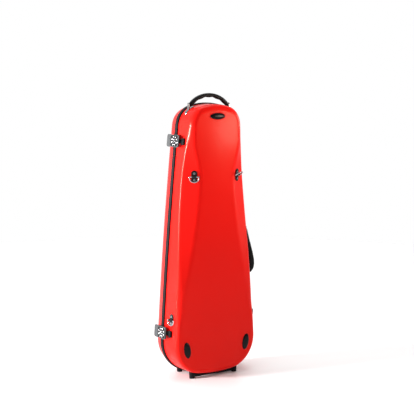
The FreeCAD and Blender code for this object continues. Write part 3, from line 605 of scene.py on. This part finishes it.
def satin_nickel():
    r = Recipe("satin_nickel", (0.24, 0.24, 0.25), 0.26, metal=1.0)
    worn = r.noise(180.0, 4.0)
    r.tint(worn, (0.18, 0.18, 0.19), (0.30, 0.30, 0.31))
    r.roughness(worn, 0.2, 0.34)
    r.bump(r.noise(900.0, 2.0), 0.05, 0.0002)
    return r.material


def polished_black():
    r = Recipe("polished_black", (0.003, 0.003, 0.004), 0.2, Specular_IOR_Level=0.14)
    r.tint(r.noise(90.0, 2.0), (0.002, 0.002, 0.003), (0.004, 0.004, 0.005))
    r.roughness(r.noise(60.0, 3.0), 0.16, 0.26)
    r.bump(r.noise(500.0, 2.0), 0.05, 0.0002)
    return r.material


def handle_leather():
    """Moulded black grip with a leather grain and soft creases across it."""
    r = Recipe("handle_leather", (0.003, 0.003, 0.004), 0.36, Specular_IOR_Level=0.12)
    r.tint(r.noise(60.0, 3.0), (0.002, 0.002, 0.003), (0.005, 0.005, 0.006))
    r.roughness(r.noise(45.0, 4.0), 0.28, 0.46)
    r.bump(r.voronoi(520.0), 0.25, 0.0004)
    r.bump(r.noise(70.0, 2.0), 0.25, 0.0012)
    return r.material


def plush():
    """Short pile lining, charcoal, with brushed patches."""
    r = Recipe("plush", (0.035, 0.037, 0.045), 0.95, Sheen_Weight=0.5, Sheen_Roughness=0.4)
    r.tint(r.noise(26.0, 4.0), (0.031, 0.033, 0.040), (0.042, 0.045, 0.054))
    r.roughness(r.noise(40.0, 2.0), 0.85, 1.0)
    r.bump(r.noise(1500.0, 2.0), 0.5, 0.0006)
    return r.material


def velvet():
    """Padded velvet, dark blue-grey, with a brushed nap and soft crush marks."""
    r = Recipe("velvet", (0.045, 0.05, 0.075), 0.9, Sheen_Weight=0.8, Sheen_Roughness=0.3)
    r.tint(r.noise(18.0, 5.0), (0.038, 0.042, 0.062), (0.054, 0.060, 0.088))
    r.roughness(r.noise(30.0, 2.0), 0.8, 1.0)
    r.bump(r.noise(1300.0, 2.0), 0.4, 0.0005)
    r.bump(r.noise(22.0, 3.0), 0.3, 0.0015)
    return r.material


def strap_web():
    """Woven black webbing: ribs across, fine threads along."""
    r = Recipe("strap_web", (0.02, 0.02, 0.023), 0.8, Sheen_Weight=0.3)
    ribs = r.waves(420.0, "X")
    r.tint(ribs, (0.012, 0.012, 0.014), (0.034, 0.034, 0.038))
    r.roughness(r.noise(90.0, 2.0), 0.7, 0.9)
    r.bump(ribs, 0.5, 0.0004)
    r.bump(r.waves(600.0, "Z"), 0.4, 0.0003)
    return r.material


MATERIALS = {
    "shell_gloss": gloss_shell(),
    "handle_leather": handle_leather(),
    "plush": plush(),
    "velvet": velvet(),
    "strap_web": strap_web(),
    "rim_dark": rim_material(),
    "black_rubber": black_rubber(),
    "black_plastic": black_plastic(),
    "latch_grey": latch_grey(),
    "chrome": chrome(),
    "steel": steel(),
}

# Finishes of a few fittings, which share their slot with brighter or duller parts
DARK_NICKEL = dark_nickel()
SATIN_NICKEL = satin_nickel()
PAD_GLOSS = polished_black()


# ---- shells and rims ----------------------------------------------------------------

def make_shells():
    base = shell_mesh("base_shell_skin", base_section, SEAM_Y - BASE_DEPTH, -PANEL_CROWN,
                      MATERIALS["shell_gloss"])
    lid = shell_mesh("lid_shell_skin", lid_section, SEAM_Y + LID_PROFILE[-1][1] * MM, LID_CROWN,
                     MATERIALS["shell_gloss"])
    for obj, body, node in ((base, "base", "base_shell"), (lid, "lid", "lid_shell")):
        add_modifier(obj, "SOLIDIFY", thickness=SKIN, offset=-1.0)
        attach(obj, body)
        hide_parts(node)


def rim_section(side):
    """Bead over a shell's edge, as (inset, distance from the seam) round its section."""
    bead = [(0.2, 7.5), (-1.6, 7.45), (-2.8, 6.8), (-3.4, 5.6), (-3.5, 3.8), (-3.5, 2.0),
            (-3.3, 0.9), (-2.6, 0.35), (-1.4, 0.3), (6.0, 0.3), (6.0, 7.5)]
    return [(inset, y * side) for inset, y in bead]


def make_rims():
    for name, side, body in (("base_rim", -1, "base"), ("lid_rim", 1, "lid")):
        bead = outline_sweep(name + "_bead", rim_section(side), MATERIALS["rim_dark"])
        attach(bead, body)
        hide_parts(name)


# ---- finish of the CAD parts that keep their shape ------------------------------------

SLOTS = {s["node"]: s["material_slot"] for s in frame["record"]["subparts"]}
BODIES = {node: body for body, nodes in frame["record"]["behaviour"]["bodies"].items() for node in nodes}


def stand_for(obj, node):
    """obj stands in for a CAD node: it rides on the node's body, and the node is hidden."""
    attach(obj, BODIES[node])
    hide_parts(node)


def finish_of(name):
    """The material of a CAD part that stays: its slot's, apart from a few darker fittings."""
    if name.endswith("_saddle"):
        return DARK_NICKEL
    if name.endswith("_brackets") or name == "saddle_screws":
        return SATIN_NICKEL
    return MATERIALS[SLOTS[name]]


def finish_cad():
    """Give each remaining CAD part the material of its slot."""
    for name, obj in frame["nodes"].items():
        material = finish_of(name)
        obj.data.materials.clear()
        obj.data.materials.append(material)


# ---- seats and swept pieces -----------------------------------------------------------

class Seat:
    """A local frame: x along `across`, y along `up`, z outward along `out`."""

    def __init__(self, origin, out, up):
        out = Vector(out).normalized()
        across = Vector(up).cross(out).normalized()
        up = out.cross(across)
        self.turn = Matrix((across, up, out)).transposed()
        self.origin = Vector(origin)

    def point(self, x, y, z):
        return self.origin + self.turn @ Vector((x, y, z))


def case_point(x, y, z):
    """A point given from the case's mid-plane, seam and floor, in the part's frame."""
    return Vector((CASE_X + x, SEAM_Y + y, z))


def loft(name, rows, material, closed_ends=True):
    """Skin through rows of points that all have the same count, with flat caps."""
    count = len(rows[0])
    verts = [p for row in rows for p in row]
    faces = ring_faces(len(rows), count)
    if closed_ends:
        faces.append(tuple(range(count)))
        faces.append(tuple(len(verts) - count + i for i in range(count)))
    return outward(add_object(name, verts, faces, material))


def joined(name, parts):
    """One object from several that share a material."""
    work = bmesh.new()
    for part in parts:
        work.from_mesh(part.data)
    mesh = parts[0].data
    work.to_mesh(mesh)
    work.free()
    for part in parts[1:]:
        bpy.data.objects.remove(part)
    parts[0].name = name
    return parts[0]


def superellipse(half_a, half_b, power, count):
    """Points round a rounded rectangle of the given half sizes."""
    points = []
    for i in range(count):
        angle = 2 * math.pi * i / count
        c = math.cos(angle)
        n = math.sin(angle)
        points.append((math.copysign(abs(c) ** (2 / power), c) * half_a,
                       math.copysign(abs(n) ** (2 / power), n) * half_b))
    return points


# ---- handles --------------------------------------------------------------------------

TOP_HANDLE_HALF = 60.0 * MM
TOP_HANDLE_Y = -21.0 * MM
TOP_HANDLE_Z = 793.5 * MM
TOP_HANDLE_RISE = 26.0 * MM
SIDE_HANDLE_HALF = 68.0 * MM
SIDE_HANDLE_Y = -17.0 * MM
SIDE_HANDLE_Z = 353.0 * MM
SIDE_HANDLE_OUT = 7.5 * MM
GRIP_THICK = 12.4 * MM
GRIP_WIDE = 15.0 * MM
FINGER_ROOM = 1.8 * MM
# As shares of half the arch: from one finger hollow to the next, and how far the hollows reach
FINGER_PITCH = 0.42
HOLLOW_REACH = 0.86
GRIP_TAPER = 2.4 * MM
CREASE_DEEP = 0.25 * MM
EYE_R = 5.0 * MM
EYE_LONG = 9.0 * MM
# Along an eye: (share of its length, share of its radius)
EYE_SECTION = ((0.0, 0.55), (0.04, 0.8), (0.14, 1.0), (0.86, 1.0), (0.96, 0.8), (1.0, 0.55))

# Slack side grip: (along the handle, inner face, outer face) from its upper to its lower end
SIDE_GRIP = (
    (-68.0, -4.5, 4.5), (-52.0, -2.2, 7.4), (-34.0, 0.6, 11.0), (-14.0, 3.4, 16.0), (6.0, 5.8, 20.0),
    (22.0, 6.6, 22.8), (36.0, 5.4, 24.0), (48.0, 2.4, 22.6), (58.0, -1.6, 18.4), (65.0, -4.6, 9.0),
)


def eye(seat, x, material):
    """Rounded end of a grip, turning on the bracket's pin."""
    rows = []
    for share, scale in EYE_SECTION:
        along = x + (share - 0.5) * EYE_LONG
        ring = []
        for i in range(20):
            angle = 2 * math.pi * i / 20
            ring.append(seat.point(along, EYE_R * scale * math.cos(angle), EYE_R * scale * math.sin(angle)))
        rows.append(ring)
    return loft("eye", rows, material)


def make_top_grip():
    """Arched grip with four finger hollows under it and a ridge between each two."""
    seat = Seat(case_point(0, TOP_HANDLE_Y, TOP_HANDLE_Z), (0, 0, 1), (0, 1, 0))
    half = TOP_HANDLE_HALF
    rise = TOP_HANDLE_RISE
    radius = (half ** 2 + rise ** 2) / (2 * rise)
    sweep = math.asin(half / radius)
    rows = []
    steps = 110
    for k in range(steps + 1):
        share = 2 * k / steps - 1
        angle = sweep * share
        hollow = 0.5 - 0.5 * math.cos(share * 2 * math.pi / FINGER_PITCH)
        inside = max(0.0, 1 - (abs(share) / HOLLOW_REACH) ** 8) * hollow * FINGER_ROOM
        thick = GRIP_THICK - inside - GRIP_TAPER * abs(share) ** 6
        middle = radius + inside / 2
        wide = GRIP_WIDE * (1 - 0.22 * abs(share) ** 5)
        row = []
        for out, side in superellipse(thick / 2, wide / 2, 2.8, 28):
            reach = middle + out
            row.append(seat.point(reach * math.sin(angle), side,
                                  max(rise - radius + reach * math.cos(angle), -2 * MM)))
        rows.append(row)
    leather = MATERIALS["handle_leather"]
    band = loft("band", rows, leather)
    grip = joined("top_grip", [band, eye(seat, -half, leather), eye(seat, half, leather)])
    stand_for(grip, "top_handle_grip")


def make_side_grip():
    """Soft grip whose slack has dropped towards its lower end, its width rippled by soft creases."""
    s = side_station(SIDE_HANDLE_Z)
    out = Vector((s[2], 0, s[3]))
    place = case_point(s[0], SIDE_HANDLE_Y, s[1]) + out * SIDE_HANDLE_OUT
    seat = Seat(place, out, (0, 1, 0))
    line = smoothed([Vector(p) * MM for p in SIDE_GRIP], 3)
    rows = []
    for k, p in enumerate(line):
        thick = p.z - p.y
        share = k / (len(line) - 1)
        crease = CREASE_DEEP * math.sin(share * 46) * math.sin(share * math.pi)
        row = []
        for rise, side in superellipse(thick / 2, GRIP_WIDE / 2 + crease, 3.0, 28):
            row.append(seat.point(p.x, side, (p.y + p.z) / 2 + rise))
        rows.append(row)
    leather = MATERIALS["handle_leather"]
    band = loft("band", rows, leather)
    ends = [eye(seat, side * SIDE_HANDLE_HALF, leather) for side in (-1, 1)]
    grip = joined("side_grip", [band] + ends)
    stand_for(grip, "side_handle_grip")


# ---- rest pads --------------------------------------------------------------------------

# Place and size of a pad: (x, z, width, height, lean)
TOP_PAD = (0.0, 761.0 * MM, 48.0 * MM, 18.0 * MM, 0.0)
LOWER_PADS = [(side * 98.5 * MM, 92.0 * MM, 21.5 * MM, 48.0 * MM, side * math.radians(9.0))
              for side in (-1, 1)]
OVAL_POINTS = 64
# Section of a pad from its rim to its middle: (share of the half size, height)
PAD_DOME = ((0.97, -0.6), (1.0, 0.2), (1.0, 1.2), (0.97, 2.0), (0.90, 2.9), (0.76, 3.6), (0.55, 4.0),
            (0.30, 4.2), (0.04, 4.3))
# Raised collar of the shell round a pad: (distance outside the pad, height)
PAD_COLLAR = ((-0.3, -0.6), (0.1, 0.9), (0.6, 1.2), (1.2, 1.1), (2.0, 0.5), (3.0, -0.6))


def oval_rings(pad, section, material, name, by_share):
    """The section carried round a pad's oval, its reach a share of the half size or in mm outside it."""
    x, z, wide, tall, lean = pad
    seat = Seat(case_point(x, -BASE_DEPTH, z), (0, -1, 0), (math.sin(lean), 0, math.cos(lean)))
    rows = []
    for reach, height in section:
        ring = []
        for i in range(OVAL_POINTS):
            angle = 2 * math.pi * i / OVAL_POINTS
            half_a = wide / 2 * reach if by_share else wide / 2 + reach * MM
            half_b = tall / 2 * reach if by_share else tall / 2 + reach * MM
            ring.append(seat.point(half_a * math.cos(angle), half_b * math.sin(angle), height * MM))
        rows.append(ring)
    return loft(name, rows, material, closed_ends=by_share)


def make_pads():
    top = oval_rings(TOP_PAD, PAD_DOME, PAD_GLOSS, "top_pad", True)
    stand_for(top, "top_rest_pad")
    domes = [oval_rings(p, PAD_DOME, PAD_GLOSS, "pad", True) for p in LOWER_PADS]
    stand_for(joined("lower_pads", domes), "lower_rest_pads")
    collars = [oval_rings(p, PAD_COLLAR, MATERIALS["shell_gloss"], "collar", False)
               for p in [TOP_PAD] + LOWER_PADS]
    collar = joined("pad_collars", collars)
    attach(collar, "base")


# ---- latch inlays -------------------------------------------------------------------------

LATCH_HEIGHTS = {"upper": 690.0 * MM, "lower": 138.0 * MM}
INLAY_MIDDLE = -10.5 * MM
INLAY_HALF = (17.0 * MM, 15.8 * MM)
INLAY_TOP = 13.5 * MM
# Section of the plate from its edge to its middle: (share of the half size, height)
INLAY_PLATE = ((0.9, -0.9), (1.0, -0.5), (1.0, 0.0), (0.96, 0.25), (0.86, 0.3), (0.04, 0.3))
# Rings of leaves: (how many, angle of the first, inner end, outer end, half width, height)
LEAF_RINGS = ((8, 22.5, 8.2, 15.6, 3.3, 1.3), (5, 18.0, 1.6, 7.4, 2.1, 1.4))
# Outline of a leaf: (share of its length, share of its width, share of its height)
LEAF = ((0.0, 0.15, 0.0), (0.12, 0.6, 0.6), (0.45, 1.0, 1.0), (0.8, 0.75, 0.8), (1.0, 0.12, 0.0))


def latch_seat(z):
    """Frame on the seam, in line with the base's wall: x runs from the base to the lid."""
    s = side_station(z)
    tilt = math.atan2(wall_inset(s), crease_depth(s))
    down = Vector((-s[3], 0, -s[2]))
    out = Vector((-math.cos(tilt), -math.sin(tilt), 0))
    out = (out - down * out.dot(down)).normalized()
    return Seat(case_point(-s[0], 0, z), out, down)


def petal(seat, angle, near, far, half, lift, material):
    """Small raised leaf, pointing away from the middle of the inlay."""
    rows = []
    for share, wide, high in LEAF:
        reach = near + (far - near) * share
        row = []
        for c, n in superellipse(half * wide, lift * high, 2.0, 12):
            x = INLAY_MIDDLE + reach * math.cos(angle) - c * math.sin(angle)
            y = reach * math.sin(angle) + c * math.cos(angle)
            row.append(seat.point(x, y, INLAY_TOP + n))
        rows.append(row)
    return loft("petal", rows, material)


def make_inlays():
    """Dark plate with two rings of bright leaves on each latch."""
    chrome_metal = MATERIALS["chrome"]
    for name, z in LATCH_HEIGHTS.items():
        seat = latch_seat(z)
        rows = []
        for reach, height in INLAY_PLATE:
            rows.append([seat.point(INLAY_MIDDLE + a, b, INLAY_TOP + height * MM) for a, b in
                         superellipse(INLAY_HALF[0] * reach, INLAY_HALF[1] * reach, 5.0, 56)])
        plate = loft(name + "_inlay_plate", rows, MATERIALS["black_rubber"])
        leaves = []
        for count, first, near, far, half, lift in LEAF_RINGS:
            for i in range(count):
                angle = math.radians(first + 360 / count * i)
                leaves.append(petal(seat, angle, near * MM, far * MM, half * MM, lift * MM, chrome_metal))
        relief = joined(name + "_inlay_relief", leaves)
        stand_for(plate, name + "_latch_inlay")
        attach(relief, BODIES[name + "_latch_inlay"])


# ---- interior -----------------------------------------------------------------------------

LINING_OUT = 2.8 * MM
LINING_THICK = 2.4 * MM
INSIDE = 5.5 * MM
PADDING_TOP = -14.0 * MM
RECESS_FLOOR = -60.0 * MM
LOWER_BOUT = (165.0 * MM, 104.0 * MM)
UPPER_BOUT = (345.0 * MM, 84.0 * MM)
WAIST_HALF = 74.0 * MM
NECK_HALF = 28.0 * MM
NECK_TOP = 735.0 * MM
NECK_FLOOR = -56.0 * MM
RECESS_SLOPE = 9.0 * MM
BOX_X = (33.0 * MM, 74.0 * MM)
BOX_Z = (468.0 * MM, 640.0 * MM)
POCKET_Z = (470.0 * MM, 545.0 * MM)
POCKET_FLOOR = -48.0 * MM
VELVET_THICK = 1.5 * MM
CRUSH_DEEP = 0.8 * MM


def offset_line(points, distance):
    """The section moved to its left by the distance."""
    moved = []
    for i, p in enumerate(points):
        a = points[max(i - 1, 0)]
        b = points[min(i + 1, len(points) - 1)]
        along = (b - a).normalized()
        moved.append(p + Vector((-along.y, along.x)) * distance)
    return moved


def make_linings():
    """Plush lining glued inside both shells."""
    def base_lining(station):
        return offset_line(base_section(station), LINING_OUT)

    def lid_lining(station):
        return offset_line(lid_section(station), -LINING_OUT)

    base = shell_mesh("base_lining_plush", base_lining, SEAM_Y - BASE_DEPTH + LINING_OUT, -PANEL_CROWN,
                      MATERIALS["plush"])
    lid = shell_mesh("lid_lining_plush", lid_lining, SEAM_Y + LID_PROFILE[-1][1] * MM - LINING_OUT, LID_CROWN,
                     MATERIALS["plush"])
    for obj, node in ((base, "base_lining"), (lid, "lid_lining")):
        add_modifier(obj, "SOLIDIFY", thickness=LINING_THICK, offset=-1.0)
        stand_for(obj, node)


def round_gap(x, z, centre_x, centre_z, radius):
    return math.hypot(x - centre_x, z - centre_z) - radius


def box_gap(x, z, x0, x1, z0, z1):
    """Signed distance to a rectangle, negative inside it."""
    across = max(x0 - x, x - x1)
    along = max(z0 - z, z - z1)
    if across > 0 and along > 0:
        return math.hypot(across, along)
    return max(across, along)


def eased(gap, slope):
    """0 outside a hollow and 1 inside it, with a soft turn at both ends of its wall."""
    return smooth_step(0.5 - gap / slope)


def padding_height(x, z):
    """Level of the padding's velvet: high beside the violin, low under it."""
    body = min(round_gap(x, z, 0, *LOWER_BOUT), round_gap(x, z, 0, *UPPER_BOUT),
               box_gap(x, z, -WAIST_HALF, WAIST_HALF, LOWER_BOUT[0], UPPER_BOUT[0]))
    neck = min(box_gap(x, z, -NECK_HALF, NECK_HALF, UPPER_BOUT[0], NECK_TOP - NECK_HALF),
               round_gap(x, z, 0, NECK_TOP - NECK_HALF, NECK_HALF))
    pocket = box_gap(x, z, -BOX_X[1], -BOX_X[0], *POCKET_Z)
    deep = eased(body + RECESS_SLOPE / 2, RECESS_SLOPE) * (PADDING_TOP - RECESS_FLOOR)
    slot = eased(neck + RECESS_SLOPE / 2, RECESS_SLOPE) * (PADDING_TOP - NECK_FLOOR)
    low = eased(pocket + 3 * MM, 6 * MM) * (PADDING_TOP - POCKET_FLOOR)
    crushed = min(0.0, CRUSH_DEEP * noise.noise(Vector((x, 0, z)) * 30))
    return PADDING_TOP - max(deep, slot, low) + crushed


def make_padding():
    """Velvet padding that fills the base round the violin, with a gap for the accessory box."""
    inner = []
    for s in STATIONS:
        inset = INSIDE + wall_inset(s) * PADDING_TOP / -crease_depth(s)
        inner.append(Vector((s[0] - inset * s[2], s[1] - inset * s[3])))
    low_z = min(p.y for p in inner)
    high_z = max(p.y for p in inner)
    outline = [p + Vector((CASE_X, 0)) for p in inner]
    columns = 96
    rows = 300
    verts = []
    for r in range(rows + 1):
        z = low_z + (high_z - low_z) * (0.5 - 0.5 * math.cos(math.pi * (0.02 + 0.96 * r / rows)))
        half = half_width_at(outline, z)
        for c in range(columns + 1):
            x = -half + 2 * half * c / columns
            verts.append(case_point(x, padding_height(x, z), z))
    faces = []
    for face in ring_faces(rows + 1, columns + 1, closed=False):
        middle = sum((verts[i] for i in face), Vector()) / 4
        if box_gap(middle.x - CASE_X, middle.z, *BOX_X, *BOX_Z) > 0:
            faces.append(face)
    padding = outward(add_object("padding_velvet", verts, faces, MATERIALS["velvet"]))
    add_modifier(padding, "SOLIDIFY", thickness=VELVET_THICK, offset=-1.0)
    stand_for(padding, "base_padding")


def copied(node, name):
    """A free copy of a CAD node's mesh, to be softened."""
    mesh = frame["nodes"][node].data.copy()
    mesh.materials.clear()
    mesh.materials.append(MATERIALS[SLOTS[node]])
    obj = bpy.data.objects.new(name, mesh)
    bpy.context.scene.collection.objects.link(obj)
    return obj


def apply_modifiers(obj):
    made = bpy.data.meshes.new_from_object(obj.evaluated_get(bpy.context.evaluated_depsgraph_get()))
    obj.modifiers.clear()
    obj.data = made
    for polygon in made.polygons:
        polygon.use_smooth = True


def softened(node, name, cell, rounds):
    """Padded piece: the node's shape with its edges pressed round."""
    obj = copied(node, name)
    add_modifier(obj, "REMESH", mode="VOXEL", voxel_size=cell)
    add_modifier(obj, "SMOOTH", factor=0.5, iterations=rounds)
    apply_modifiers(obj)
    stand_for(obj, node)


# Cushions: mesh cell, depth that is glued down, and how far the cover may swell aside and up
CUSHION_CELL = 4.5 * MM
CUSHION_GLUED = 3.0 * MM
CUSHION_SPREAD = 2.0 * MM
CUSHION_RISE = 5.0 * MM
CLOTH_STEPS = 20
CLOTH = {"quality": 5, "mass": 0.15, "tension_stiffness": 12.0, "compression_stiffness": 12.0,
         "use_pressure": True, "uniform_pressure_force": 4.0, "vertex_group_mass": "glued"}


def blow_up(obj, low, high):
    """Cloth simulation with pressure inside; the face that is glued down stays in place."""
    pins = obj.vertex_groups.new(name="glued")
    pins.add([v.index for v in obj.data.vertices if v.co.y < low.y + CUSHION_GLUED], 1.0, "REPLACE")
    cloth = add_modifier(obj, "CLOTH")
    for key, value in CLOTH.items():
        setattr(cloth.settings, key, value)
    cloth.settings.effector_weights.gravity = 0.0
    scene = bpy.context.scene
    for step in range(1, CLOTH_STEPS + 1):
        scene.frame_set(step)
    apply_modifiers(obj)
    scene.frame_set(1)
    for v in obj.data.vertices:
        v.co.x = min(max(v.co.x, low.x - CUSHION_SPREAD), high.x + CUSHION_SPREAD)
        v.co.y = min(max(v.co.y, low.y), high.y + CUSHION_RISE)
        v.co.z = min(max(v.co.z, low.z - CUSHION_SPREAD), high.z + CUSHION_SPREAD)


def make_cushion(node, name):
    """Stuffed cushion: its cover is blown up a little by a cloth simulation."""
    obj = copied(node, name)
    add_modifier(obj, "REMESH", mode="VOXEL", voxel_size=CUSHION_CELL)
    apply_modifiers(obj)
    blow_up(obj, *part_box(node))
    add_modifier(obj, "SMOOTH", factor=0.5, iterations=4)
    add_modifier(obj, "SUBSURF", levels=1, render_levels=1)
    apply_modifiers(obj)
    stand_for(obj, node)


STRAP_X = (-42.0 * MM, 32.0 * MM)
STRAP_Z = (575.0 * MM, 595.0 * MM)
STRAP_SAG = 2.5 * MM
TAB_X = (65.0 * MM, 80.0 * MM)
TAB_Z = (547.0 * MM, 561.0 * MM)
TAB_Y = -10.0 * MM
STRAP_THICK = 1.2 * MM
TAB_THICK = 1.0 * MM


def strip(name, xs, zs, level, material, thick):
    """Flat strip of webbing with rounded corners; level(x) is its height."""
    columns = 36
    across = 8
    verts = []
    corner = (zs[1] - zs[0]) * 0.25
    for c in range(columns + 1):
        x = xs[0] + (xs[1] - xs[0]) * c / columns
        room = min(x - xs[0], xs[1] - x)
        trim = max(0.0, corner - room) ** 2 / corner * 0.6
        for r in range(across + 1):
            z = zs[0] + trim + (zs[1] - zs[0] - 2 * trim) * r / across
            verts.append(case_point(x, level(x), z))
    faces = ring_faces(columns + 1, across + 1, closed=False)
    obj = add_object(name, verts, faces, material)
    add_modifier(obj, "SOLIDIFY", thickness=thick, offset=0.0)
    apply_modifiers(obj)
    return obj


def make_straps():
    """Neck strap over the slot, and the pull tab of the accessory lid."""
    web = MATERIALS["strap_web"]

    def strap_level(x):
        share = min(abs(x) / NECK_HALF, 1.0)
        return PADDING_TOP + 1.0 * MM - STRAP_SAG * math.cos(share * math.pi / 2) ** 2

    strap = strip("neck_strap_web", STRAP_X, STRAP_Z, strap_level, web, STRAP_THICK)
    stand_for(strap, "neck_strap")
    tab = strip("accessory_tab_web", TAB_X, TAB_Z, lambda x: TAB_Y, web, TAB_THICK)
    stand_for(tab, "accessory_tab")


def make_interior():
    make_linings()
    make_padding()
    make_cushion("lower_body_cushion", "lower_cushion")
    make_cushion("upper_body_cushion", "upper_cushion")
    softened("neck_cradle", "neck_cradle_pad", 1.6 * MM, 5)
    softened("accessory_lid", "accessory_flap_velvet", 1.0 * MM, 3)
    softened("bow_tip_pockets", "bow_pockets_velvet", 1.4 * MM, 5)
    make_straps()


# ---- stage --------------------------------------------------------------------------

VIEW_AZIMUTH = math.radians(29.98)
VIEW_DISTANCE = 2.711
VIEW_HEIGHT = 0.847
VIEW_PITCH = math.radians(7.43)
VIEW_ROLL = math.radians(-0.1)
VIEW_ASIDE = 0.0061
LENS = 81.0
SENSOR_WIDTH = 36.0
FLOOR_RADIUS = 2.5
FLOOR_SIDES = 96

# The room lights the case less from this side: towards it the level falls over a range of cosines
ROOM_DIM_SIDE = Vector((0.6, -0.8, 0.0))
DIM_COSINES = (-0.1, 0.8)
ROOM_LEVELS = (1.0, 0.08)

WHITE = (1.0, 1.0, 1.0)
# Lamps: (name, place, target, size, power, colour, spread in degrees); the strip lights the crease
LAMPS = (
    ("strip", (-2.7, 0.6, 0.72), (-0.1, 0, 0.7), (0.45, 0.5), 170, WHITE, 180),
    ("wall", (-2.2, 2.0, 1.2), (0, 0, 0.5), (1.6, 1.2), 8, (1.0, 0.8, 0.6), 180),
    ("left", (-2.6, -1.1, 1.2), (0, 0, 0.4), (0.8, 1.2), 4, (1.0, 0.85, 0.7), 180),
    ("window", (0.85, -1.2, 0.74), (0.1, -0.06, 0.8), (0.3, 0.3), 0.6, (1.0, 0.8, 0.65), 50),
    ("top", (0.6, 0.6, 4.0), (0.2, 0.3, 0.0), (2.4, 2.4), 50, WHITE, 180),
    ("edge", (2.4, -0.9, 1.0), (0.05, 0, 0.8), (0.12, 0.8), 3, (1.0, 0.9, 0.8), 40),
)


def make_camera():
    """Camera to the left of the case's back, looking slightly down."""
    right = Vector((math.cos(VIEW_AZIMUTH), -math.sin(VIEW_AZIMUTH), 0))
    ahead = Vector((math.sin(VIEW_AZIMUTH) * math.cos(VIEW_PITCH),
                    math.cos(VIEW_AZIMUTH) * math.cos(VIEW_PITCH), -math.sin(VIEW_PITCH)))
    up = right.cross(ahead)
    turned_right = right * math.cos(VIEW_ROLL) - up * math.sin(VIEW_ROLL)
    turned_up = right * math.sin(VIEW_ROLL) + up * math.cos(VIEW_ROLL)
    back = Vector((-math.sin(VIEW_AZIMUTH), -math.cos(VIEW_AZIMUTH), 0)) * VIEW_DISTANCE
    place = back + right * VIEW_ASIDE + Vector((CASE_X, SEAM_Y, VIEW_HEIGHT))
    data = bpy.data.cameras.new("camera")
    data.lens = LENS
    data.sensor_width = SENSOR_WIDTH
    camera = bpy.data.objects.new("camera", data)
    bpy.context.scene.collection.objects.link(camera)
    turn = Matrix((turned_right, turned_up, -ahead)).transposed()
    camera.matrix_world = Matrix.Translation(place) @ turn.to_4x4()
    bpy.context.scene.camera = camera


def area_light(name, place, target, size, power, colour, spread):
    data = bpy.data.lights.new(name, "AREA")
    data.shape = "RECTANGLE"
    data.size = size[0]
    data.size_y = size[1]
    data.energy = power
    data.color = colour
    data.spread = math.radians(spread)
    light = bpy.data.objects.new(name, data)
    bpy.context.scene.collection.objects.link(light)
    light.location = place
    light.rotation_euler = (Vector(target) - Vector(place)).to_track_quat("-Z", "Y").to_euler()


def make_floor():
    """Round pale floor whose edge is lost in the white of the room."""
    finish = Recipe("floor", (0.96, 0.96, 0.965), 0.3)
    finish.roughness(finish.noise(3.0, 2.0), 0.26, 0.34)
    rim = []
    for i in range(FLOOR_SIDES):
        angle = 2 * math.pi * i / FLOOR_SIDES
        rim.append((FLOOR_RADIUS * math.cos(angle), FLOOR_RADIUS * math.sin(angle), 0))
    floor = add_object("floor", rim, [tuple(range(FLOOR_SIDES))], finish.material)


def make_room():
    """White room that lights the case less from the front; the backdrop itself stays white."""
    world = bpy.data.worlds.new("studio")
    world.use_nodes = True
    tree = world.node_tree
    coords = tree.nodes.new("ShaderNodeTexCoord")
    towards = tree.nodes.new("ShaderNodeVectorMath")
    towards.operation = "DOT_PRODUCT"
    towards.inputs[1].default_value = ROOM_DIM_SIDE.normalized()
    tree.links.new(coords.outputs["Generated"], towards.inputs[0])
    level = tree.nodes.new("ShaderNodeMapRange")
    set_span(level, DIM_COSINES, ROOM_LEVELS)
    tree.links.new(towards.outputs["Value"], level.inputs["Value"])
    seen = tree.nodes.new("ShaderNodeLightPath")
    brighter = tree.nodes.new("ShaderNodeMath")
    brighter.operation = "MAXIMUM"
    tree.links.new(level.outputs["Result"], brighter.inputs[0])
    tree.links.new(seen.outputs["Is Camera Ray"], brighter.inputs[1])
    tree.links.new(brighter.outputs["Value"], tree.nodes["Background"].inputs["Strength"])
    tree.nodes["Background"].inputs["Color"].default_value = (1, 1, 1, 1)
    bpy.context.scene.world = world


def make_stage():
    """Floor, room and lamps."""
    make_floor()
    make_room()
    for lamp in LAMPS:
        area_light(*lamp)


bpy.context.scene.view_settings.view_transform = "Standard"
make_camera()
make_stage()
make_shells()
make_rims()
make_top_grip()
make_side_grip()
make_pads()
make_inlays()
make_interior()
finish_cad()
